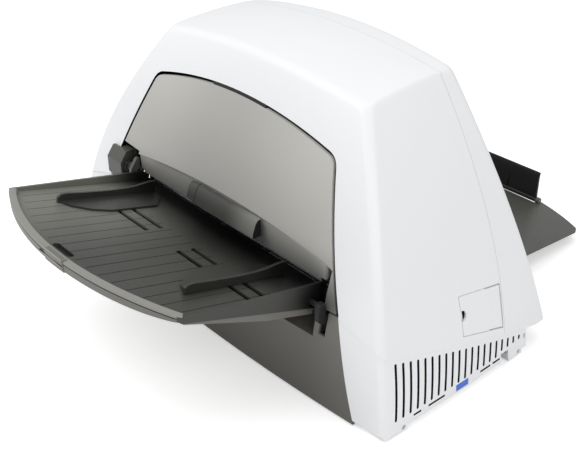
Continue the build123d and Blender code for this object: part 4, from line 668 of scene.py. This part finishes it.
        # Painted shade: the shell's inner face and the walls of the cover's opening get the unlit finish.
        self.shop.darken(piece, self.inside)

    def inside(self, centres: np.ndarray, _normals: np.ndarray) -> np.ndarray:
        """Which of the front shell's faces get painted shade: its inner face and the walls of the cover's opening."""
        x, y, z = centres.T
        front = y - self.form.front_face(x, z)
        side = self.form.side_face(y, z) - np.abs(x)
        top = self.form.top(x, y) - z
        inner_face_depth = 2.75
        inner = np.minimum(np.minimum(front, side), top) > inner_face_depth
        return inner | ((front > 0.9) & (front < 5.0) & (side > 12.0) & (top > 12.0) & (z > 118.0))

    def rear_shell(self) -> None:
        """Rear shell: its grid thickened inwards, with the output tray's opening cut out."""
        seam = self.form.seam + self.seam_gap / 2
        ts = np.concatenate([np.linspace(3, 4, 20)[:-1], np.linspace(4, 5, 9)[:-1], np.linspace(5, 6, 50)])[::-1]
        low = self.lower_edge(ts, seam)
        grid = self.shell_grid(ts, seam, lambda t: np.interp(t, [3, 4, 5, 6], [1.0, 0.93, 0.9, 0]), low)
        piece = self.shop.surface("rear_shell_form", self.mirrored(grid) * MM)
        self.thicken(piece)
        hole = np.array([(-160.0, 10.0), (188.0, 10.0), (188.0, 100.0), (-160.0, 100.0)])
        self.shop.combine(piece, self.shop.prism("exit_cut", hole * MM, 1, 0.075, 0.16), "DIFFERENCE")
        self.shop.finish_edges(piece, 0.5, 2, 50.0)
        self.shop.place(piece, Paint.SHELL, "case", ["rear_shell"])

    def thicken(self, piece: bpy.types.Object) -> None:
        """Give a surface a wall inwards."""
        self.shop.orient(piece)
        centre = np.array([0.0, -0.03, 0.12])
        faces = piece.data.polygons
        outward = sum(float(np.dot(np.array(f.center) - centre, np.array(f.normal))) * f.area for f in faces)
        if outward < 0:
            piece.data.flip_normals()
        solid = piece.modifiers.new("wall", "SOLIDIFY")
        solid.thickness, solid.offset, solid.use_even_offset = self.wall_thickness * MM, -1.0, True
        self.shop.settle(piece)

    def front_cover(self) -> None:
        """Arched cover: the case's front inside the arch, ending below in a bowed edge, with one leg on the right."""
        ts = np.linspace(0, 1, 90)
        z = np.linspace(100.0, 285.0, 80)[:, None]
        x, y = self.form.wall(ts, np.broadcast_to(z, (80, len(ts))), 25.0)
        grid = np.stack([x, y, np.broadcast_to(z, x.shape)], axis=-1)
        piece = self.shop.surface("front_cover_form", self.mirrored(grid) * MM)
        self.thicken(piece)
        self.shop.combine(piece, self.shop.prism("arch_keep", self.arch(0.001) * MM, 1, -0.26, -0.05), "INTERSECT")
        middle, half, bow_foot, bow_rise = 14.0, 165.5, 158.0, 14.0
        left, right = middle - half, middle + half
        x = np.linspace(left, right, 41)
        bow = bow_foot + bow_rise * (1 - ((x - middle) / half) ** 2)
        rest = [[190.0, 154.0], [190.0, 60.0], [-240.0, 60.0], [-240.0, 162.0], [left, 162.0]]
        under = np.concatenate([np.stack([x, bow], axis=1), rest])
        self.shop.combine(piece, self.shop.prism("under_cut", under * MM, 1, -0.26, -0.05), "DIFFERENCE")
        self.shop.finish_edges(piece, 0.8, 3, 50.0)
        self.shop.place(piece, Paint.COVER, "cover", ["front_cover"])
        part = self.shop.copy_node("front_cover", "cover_knuckles")
        self.shop.combine(part, self.shop.box("keep", ((-45, 45), (-112, -100), (270.5, 283))), "INTERSECT")
        self.shop.finish_edges(part, 0.0)
        self.shop.place(part, Paint.BLACK, "cover")

    def grip(self) -> None:
        """Release grip: a wedge bar with a leaning upper face, a seam near its left end and a closed right end face
        painted dark, painted shade in place of an open end.
        """
        section = np.array([(-153.0, 148.4), (-163.0, 148.0), (-165.0, 149.6), (-164.8, 153.5), (-160.4, 165.3),
                            (-157.6, 168.7), (-155.2, 169.5), (-153.0, 169.5)])
        places = np.array([-36.0, -35.2, -21.0, -20.2, -20.0, -19.2, -19.0, 60.0, 82.6, 84.0])
        sizes = np.array([0.78, 0.86, 1.0, 1.0, 0.93, 0.93, 1.0, 1.0, 1.0, 0.95])
        hub = np.array([-153.0, 158.0])
        ring = hub + (section - hub)[None] * sizes[:, None, None]
        grid = np.concatenate([np.broadcast_to(places[:, None, None], (*ring.shape[:2], 1)), ring], axis=-1)
        piece = self.shop.tube("grip_form", grid)
        smooth(piece, 28.0)
        self.shop.place(piece, Paint.GRIP, "latch", ["cover_latch"])
        # Painted shade: the right end face gets the unlit finish.
        self.shop.darken(piece, lambda c, n: (n[:, 0] > 0.8) & (c[:, 0] > 82))

    def build(self) -> None:
        """Build every piece of the housing."""
        self.front_shell()
        self.rear_shell()
        self.front_cover()
        self.grip()
        for node, finish in (("base_chassis", Paint.SHELL), ("side_door", Paint.SHELL),
                             ("front_base_panel", Paint.PANEL)):
            piece = self.shop.dressed(node, finish, 0.35, 50.0)
            if node == "base_chassis":
                # Painted shade: the vents' walls and the base's upward faces get the unlit finish.
                self.shop.darken(piece, self.painted_vent_and_ledge_shade)

    def painted_vent_and_ledge_shade(self, centres: np.ndarray, normals: np.ndarray) -> np.ndarray:
        """Which of the base's faces get painted shade: the walls of its vents and slots, by their depth inside the
        outer surface, and its upward faces above 24 mm, a painted shadow line under the shells' lower edge.
        """
        x, y, z = centres.T
        depth = self.form.side_face(y, z) - 1.0 - np.abs(x)
        field_of_vents = (z > 12.0) & (z < 96.0) & (y > -152.0) & (y < 60.0)
        vents = (depth > 0.5) & (depth < 6.0) & field_of_vents & (np.abs(normals[:, 0]) < 0.5)
        return vents | ((normals[:, 2] > 0.6) & (z > 24.0))


@dataclass
class Dressing:
    """CAD nodes that keep their form and get rounded edges and a finish."""

    shop: Workshop
    finishes: dict[str, tuple[Paint, float]] = field(default_factory=lambda: {
        "drive_pod": (Paint.POD, 0.8), "feeder_lip": (Paint.COVER, 0.5), "output_tray": (Paint.OUTLET, 0.6),
        "end_stop": (Paint.BLACK, 0.5), "throat_liner": (Paint.BLACK, 0.3),
        "elevator_carriage": (Paint.BLACK, 0.5)})
    plain: dict[str, Paint] = field(default_factory=lambda: {
        "elevator_gear": Paint.BLACK, "guide_pinion": Paint.NYLON, "port_insert": Paint.BLUE,
        "rubber_feet": Paint.RUBBER, "lug_screws": Paint.STEEL, "latch_pin": Paint.BLACK, "hinge_pins": Paint.STEEL,
        # tray_pivot_pins are painted black as painted shade, standing in for a dark hole in the tray's side.
        "output_hinge_pins": Paint.STEEL, "stop_pin": Paint.STEEL, "tray_pivot_pins": Paint.BLACK,
        "lift_gear_pin": Paint.STEEL, "elevator_rods": Paint.STEEL, "left_frame": Paint.ZINC,
        "right_frame": Paint.ZINC, "frame_crossbars": Paint.ZINC, "roller_bushes": Paint.NYLON,
        "feed_shaft": Paint.STEEL, "feed_tires": Paint.RUBBER, "separation_shaft": Paint.STEEL,
        "separation_tires": Paint.RUBBER, "front_drive_shaft": Paint.STEEL, "front_drive_tires": Paint.RUBBER,
        "rear_drive_shaft": Paint.STEEL, "rear_drive_tires": Paint.RUBBER, "front_pinch_roller": Paint.NYLON,
        "rear_pinch_roller": Paint.NYLON, "motor_pulley": Paint.NYLON, "transport_motor": Paint.MOTOR,
        "transport_belt": Paint.RUBBER, "lower_guide_plate": Paint.ZINC, "upper_guide_plate": Paint.ZINC,
        "lower_imaging_module": Paint.BLACK, "upper_imaging_module": Paint.BLACK, "scan_glasses": Paint.GLASS,
        "power_supply": Paint.ZINC, "main_board": Paint.BOARD, "fan_frame": Paint.BLACK, "fan_rotor": Paint.BLACK,
        "power_inlet": Paint.BLACK, "data_port": Paint.STEEL, "power_switch": Paint.BLACK, "door_well": Paint.SHELL})

    def pod_cut(self) -> bpy.types.Object:
        """What lies above the pod's bevelled top, as a cutter."""
        outline = np.array([(-175.0, 137.0), (-163.5, 139.0), (-153.5, 152.5), (-125.0, 154.0), (-125.0, 175.0),
                            (-175.0, 175.0)])
        return self.shop.prism("pod_cut", outline * MM, 0, -0.22, -0.14)

    def build(self) -> None:
        """Dress each node."""
        for node, (finish, width) in self.finishes.items():
            cuts = [self.pod_cut()] if node == "drive_pod" else []
            piece = self.shop.dressed(node, finish, width, 35.0, cuts)
            if node == "throat_liner":
                self.shop.darken(piece, lambda c, n: c[:, 2] < 100.0, Paint.PANEL)
        for node, finish in self.plain.items():
            self.shop.paint(self.shop.frame["nodes"][node], finish)


@dataclass
class InputTray:
    """The input tray: grooved deck, swept rim band, dark joint line and the lower cover's front face."""

    shop: Workshop
    centre: float = 14.0
    half: float = 164.0
    corner_y: float = -321.3
    rise: float = 38.5
    corner: float = 9.0

    def front(self, x: np.ndarray) -> np.ndarray:
        """Y of the front edge, a circular arc."""
        radius = (self.half**2 + self.rise**2) / (2 * self.rise)
        return self.corner_y - self.rise + radius - np.sqrt(radius**2 - (x - self.centre) ** 2)

    def rim(self, y: np.ndarray) -> np.ndarray:
        """Height of the rim: a line through its tip and inner corners."""
        return 172.2 + (136.0 - 172.2) * (y + 321.3) / (321.3 - 152.0)

    def deck(self, y: np.ndarray) -> np.ndarray:
        """Height of the deck: a line that meets the rim's 4 below at the tip and 12 below at the inner end."""
        return 168.2 + (124.0 - 168.2) * (y + 321.3) / (321.3 - 152.0)

    def path(self, back: float) -> np.ndarray:
        """The tray's outline in plan from its left rear, round the front, to its right rear."""
        x = np.linspace(-self.half + self.corner, 0, 60)
        arc = np.stack([x + self.centre, self.front(x + self.centre)], axis=1)
        corner = np.array([self.centre - self.half, self.corner_y])
        u = np.linspace(0, 1, 10)[:-1, None]
        start = corner + (0, self.corner)
        bend = (1 - u) ** 2 * start + 2 * u * (1 - u) * corner + u**2 * arc[0]
        side = np.stack([np.full(24, corner[0]), np.linspace(back, start[1], 25)[:-1]], axis=1)
        left = np.concatenate([side, bend, arc])
        right = left[-2::-1].copy()
        right[:, 0] = 2 * self.centre - right[:, 0]
        return np.concatenate([left, right])

    def grooves(self) -> bpy.types.Object:
        """Shallow grooves along the deck, as one cutter."""
        x = self.centre + 18.4 * np.arange(-8, 9)
        depth = np.array([-0.45, 3.0])
        ends = np.stack([self.front(x) + 15.0, np.full_like(x, -206.0)], axis=1)
        corners = np.array([(-0.55, 0, 0), (0.55, 0, 0), (0.55, 1, 0), (-0.55, 1, 0),
                            (-0.55, 0, 1), (0.55, 0, 1), (0.55, 1, 1), (-0.55, 1, 1)])
        y = ends[:, corners[:, 1].astype(int)]
        z = self.deck(y) + depth[corners[:, 2].astype(int)][None]
        points = np.stack([x[:, None] + corners[None, :, 0], y, z], axis=-1)
        box = np.array([(0, 3, 2, 1), (4, 5, 6, 7), (0, 1, 5, 4), (1, 2, 6, 5), (2, 3, 7, 6), (3, 0, 4, 7)])
        faces = (box[None] + 8 * np.arange(len(x))[:, None, None]).reshape(-1, 4)
        return self.shop.mesh("groove_cut", points * MM, faces.tolist())

    def below(self, centres: np.ndarray, depth: float) -> np.ndarray:
        """Which places lie more than a depth under the deck's surface."""
        return centres[:, 2] < self.deck(centres[:, 1]) - depth

    def in_slots(self, centres: np.ndarray) -> np.ndarray:
        """Which places lie in the two rows of guide slots across the deck."""
        across, along = np.abs(centres[:, 0] - 18.0), np.abs(np.abs(centres[:, 1] + 225.0) - 9.2)
        return (across > 27.0) & (across < 148.0) & (along < 3.6)

    def guide_cut(self) -> bpy.types.Object:
        """What lies above the guides' swept top line, as one cutter."""
        line = np.array([(-292.0, 2.0), (-287.5, 6.0), (-284.0, 9.5), (-276.0, 11.0), (-255.0, 10.0),
                         (-225.0, 9.6), (-200.0, 10.4), (-186.0, 12.2), (-174.0, 15.0), (-166.0, 16.4), (-150.0, 16.4)])
        y = np.linspace(-292.0, -150.0, 60)
        top = self.deck(y) + np.interp(y, line[:, 0], line[:, 1])
        outline = np.concatenate([np.stack([y, top], axis=1), [[-150.0, 220.0], [-292.0, 240.0]]])
        return self.shop.prism("guide_cut", outline * MM, 0, -0.17, 0.2)

    def build(self) -> None:
        """Build the tray's pieces."""
        deck = self.shop.dressed("input_tray_deck", Paint.TRAY, 0.5, 35.0, [self.grooves()])
        notch_x, notch_y, notch_radius = 8.0, -343.0, 16.0
        # Painted shade: the walls and floors of the deck's slots and tip notch get the unlit finish.
        self.shop.darken(deck, lambda c, n: self.below(c, 0.7) & (
            self.in_slots(c) | (np.hypot(c[:, 0] - notch_x, c[:, 1] - notch_y) < notch_radius)))
        for node, finish in (("tray_extender", Paint.RIM), ("input_tray_cover", Paint.PANEL)):
            cuts = []
            if node == "tray_extender":
                cuts.append(self.shop.box("plate_cut", ((-30, 60), (-380, -361.2), (120, 220))))
            hidden = self.shop.dressed(node, finish, 0.3, 35.0, cuts)
            # Painted shade: upward faces under the deck get the unlit finish.
            self.shop.darken(hidden, lambda c, n: self.below(c, 1.5) & (n[:, 2] > 0.5))
        for side in ("left", "right"):
            guide = self.shop.dressed(f"{side}_guide", Paint.GUIDE, 0.9, 35.0, [self.guide_cut()])
            # Painted shade: the guides' faces under the deck get the unlit finish.
            self.shop.darken(guide, lambda c, n: self.below(c, 0.4))
        path = self.path(-172.0)
        top = self.rim(path[:, 1])
        front = np.clip((-318.0 - path[:, 1]) / 8.0, 0, 1)
        keep = front > 0
        strip = path[keep]
        band = np.array([(-7.6, -4.4), (-7.6, -0.4), (-7.0, 0.2), (-0.9, 0.5), (0.3, 0.2), (0.5, -0.4), (0.5, -1.6),
                         (-4.0, -1.6), (-4.0, -4.4)])
        piece = self.shop.sweep("tray_rim_band", strip, band, top[keep])
        self.shop.finish_edges(piece, 0.0)
        self.shop.place(piece, Paint.RIM, "input_tray")
        chosen = strip[(strip[:, 0] > 1.0) & (strip[:, 0] < 38.0)]
        tab = np.array([(-5.6, 0.3), (-5.0, 0.9), (0.5, 1.1), (1.0, 0.6), (1.0, -11.4), (0.4, -12.0), (-1.6, -12.0),
                        (-1.6, -0.6)])
        piece = self.shop.sweep("extender_tab_face", chosen, tab, self.rim(chosen[:, 1]))
        smooth(piece, 32.0)
        self.shop.place(piece, Paint.PANEL, "extender")
        line = np.array([(-3.5, -1.6), (0.2, -1.6), (0.2, -2.9), (-3.5, -2.9)])
        self.shop.place(self.shop.sweep("tray_joint_line", strip, line, top[keep]), Paint.DARK, "input_tray")
        face = np.array([(-3.0, -2.9), (0.5, -2.9), (0.4, -10.6), (-0.6, -11.8), (-3.0, -11.8)])
        ends = 1.0 - 0.72 * np.abs((strip[:, 0] - self.centre) / self.half) ** 6
        piece = self.shop.sweep("tray_cover_face", strip, face, top[keep], ends)
        self.shop.finish_edges(piece, 0.0)
        self.shop.place(piece, Paint.PANEL, "input_tray")


@dataclass(frozen=True)
class Studio:
    """Camera, lamps, world and floor."""

    eye: tuple[float, float, float] = (0.7497, -0.6945, 0.6652)
    look: tuple[float, float, float] = (-0.6464, 0.5712, -0.5058)
    lens: float = 57.95
    shift_x: float = -0.0025

    def camera(self) -> None:
        """Camera at the photograph's place."""
        data = bpy.data.cameras.new("camera")
        data.lens, data.sensor_width, data.sensor_fit, data.shift_x = self.lens, 36.0, "HORIZONTAL", self.shift_x
        holder = bpy.data.objects.new("camera", data)
        bpy.context.scene.collection.objects.link(holder)
        holder.location = self.eye
        holder.rotation_euler = Vector(self.look).to_track_quat("-Z", "Y").to_euler()
        bpy.context.scene.camera = holder

    def lamp(self, name: str, place: Sequence[float], aim: Sequence[float], power: float, size: float) -> None:
        """A square soft lamp aimed at a point."""
        data = bpy.data.lights.new(name, "AREA")
        data.energy, data.size = power, size
        holder = bpy.data.objects.new(name, data)
        bpy.context.scene.collection.objects.link(holder)
        holder.location = place
        holder.rotation_euler = (Vector(aim) - Vector(place)).to_track_quat("-Z", "Y").to_euler()

    def world(self) -> None:
        """Even grey surroundings that camera rays see as white."""
        world = bpy.data.worlds.new("surroundings")
        bpy.context.scene.world = world
        world.use_nodes = True
        tree = world.node_tree
        back = tree.nodes["Background"]
        back.inputs["Color"].default_value = (1, 1, 1, 1)
        back.inputs["Strength"].default_value = 0.50
        white = tree.nodes.new("ShaderNodeBackground")
        white.inputs["Strength"].default_value = 1.0
        white.inputs["Color"].default_value = (1, 1, 1, 1)
        path, mix = tree.nodes.new("ShaderNodeLightPath"), tree.nodes.new("ShaderNodeMixShader")
        tree.links.new(path.outputs["Is Camera Ray"], mix.inputs["Fac"])
        tree.links.new(back.outputs[0], mix.inputs[1])
        tree.links.new(white.outputs[0], mix.inputs[2])
        tree.links.new(mix.outputs[0], tree.nodes["World Output"].inputs["Surface"])

    def floor(self, shop: Workshop) -> None:
        """White floor that keeps the object's soft shadow."""
        grid = np.array([[[-6.0, -6.0, 0.0], [6.0, -6.0, 0.0]], [[-6.0, 6.0, 0.0], [6.0, 6.0, 0.0]]])
        piece = shop.surface("floor", grid)
        material = bpy.data.materials.new("floor_white")
        material.use_nodes = True
        shader = material.node_tree.nodes["Principled BSDF"]
        shader.inputs["Base Color"].default_value = (0.94, 0.94, 0.94, 1.0)
        shader.inputs["Roughness"].default_value = 0.9
        shader.inputs["Specular IOR Level"].default_value = 0.1
        seen = material.node_tree.nodes.new("ShaderNodeLightPath")
        glow = material.node_tree.nodes.new("ShaderNodeEmission")
        glow.inputs["Strength"].default_value = 0.42
        none = material.node_tree.nodes.new("ShaderNodeEmission")
        none.inputs["Strength"].default_value = 0.0
        pick = material.node_tree.nodes.new("ShaderNodeMixShader")
        total = material.node_tree.nodes.new("ShaderNodeAddShader")
        links = material.node_tree.links
        links.new(seen.outputs["Is Camera Ray"], pick.inputs["Fac"])
        links.new(none.outputs[0], pick.inputs[1])
        links.new(glow.outputs[0], pick.inputs[2])
        links.new(shader.outputs[0], total.inputs[0])
        links.new(pick.outputs[0], total.inputs[1])
        links.new(total.outputs[0], material.node_tree.nodes["Material Output"].inputs["Surface"])
        piece.data.materials.append(material)

    def build(self, shop: Workshop) -> None:
        """Set up the studio."""
        self.camera()
        self.world()
        self.floor(shop)
        self.lamp("key", (-0.5, -1.3, 1.9), (0.0, 0.0, 0.15), 18.0, 1.4)
        self.lamp("fill", (1.7, -0.5, 1.1), (0.0, 0.0, 0.15), 8.0, 1.2)
        self.lamp("top", (0.1, 0.5, 2.0), (0.0, 0.0, 0.2), 8.0, 1.6)
        self.lamp("side", (-1.6, -0.7, 1.0), (-0.1, 0.0, 0.15), 3.0, 1.0)
        bpy.context.scene.view_settings.view_transform = "Standard"


def main() -> None:
    """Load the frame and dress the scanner."""
    logging.basicConfig(level=logging.INFO, format="%(name)s: %(message)s")
    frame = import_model()
    shop = Workshop(frame)
    Studio().build(shop)
    Housing(shop).build()
    InputTray(shop).build()
    Dressing(shop).build()


if __name__ == "__main__":
    main()
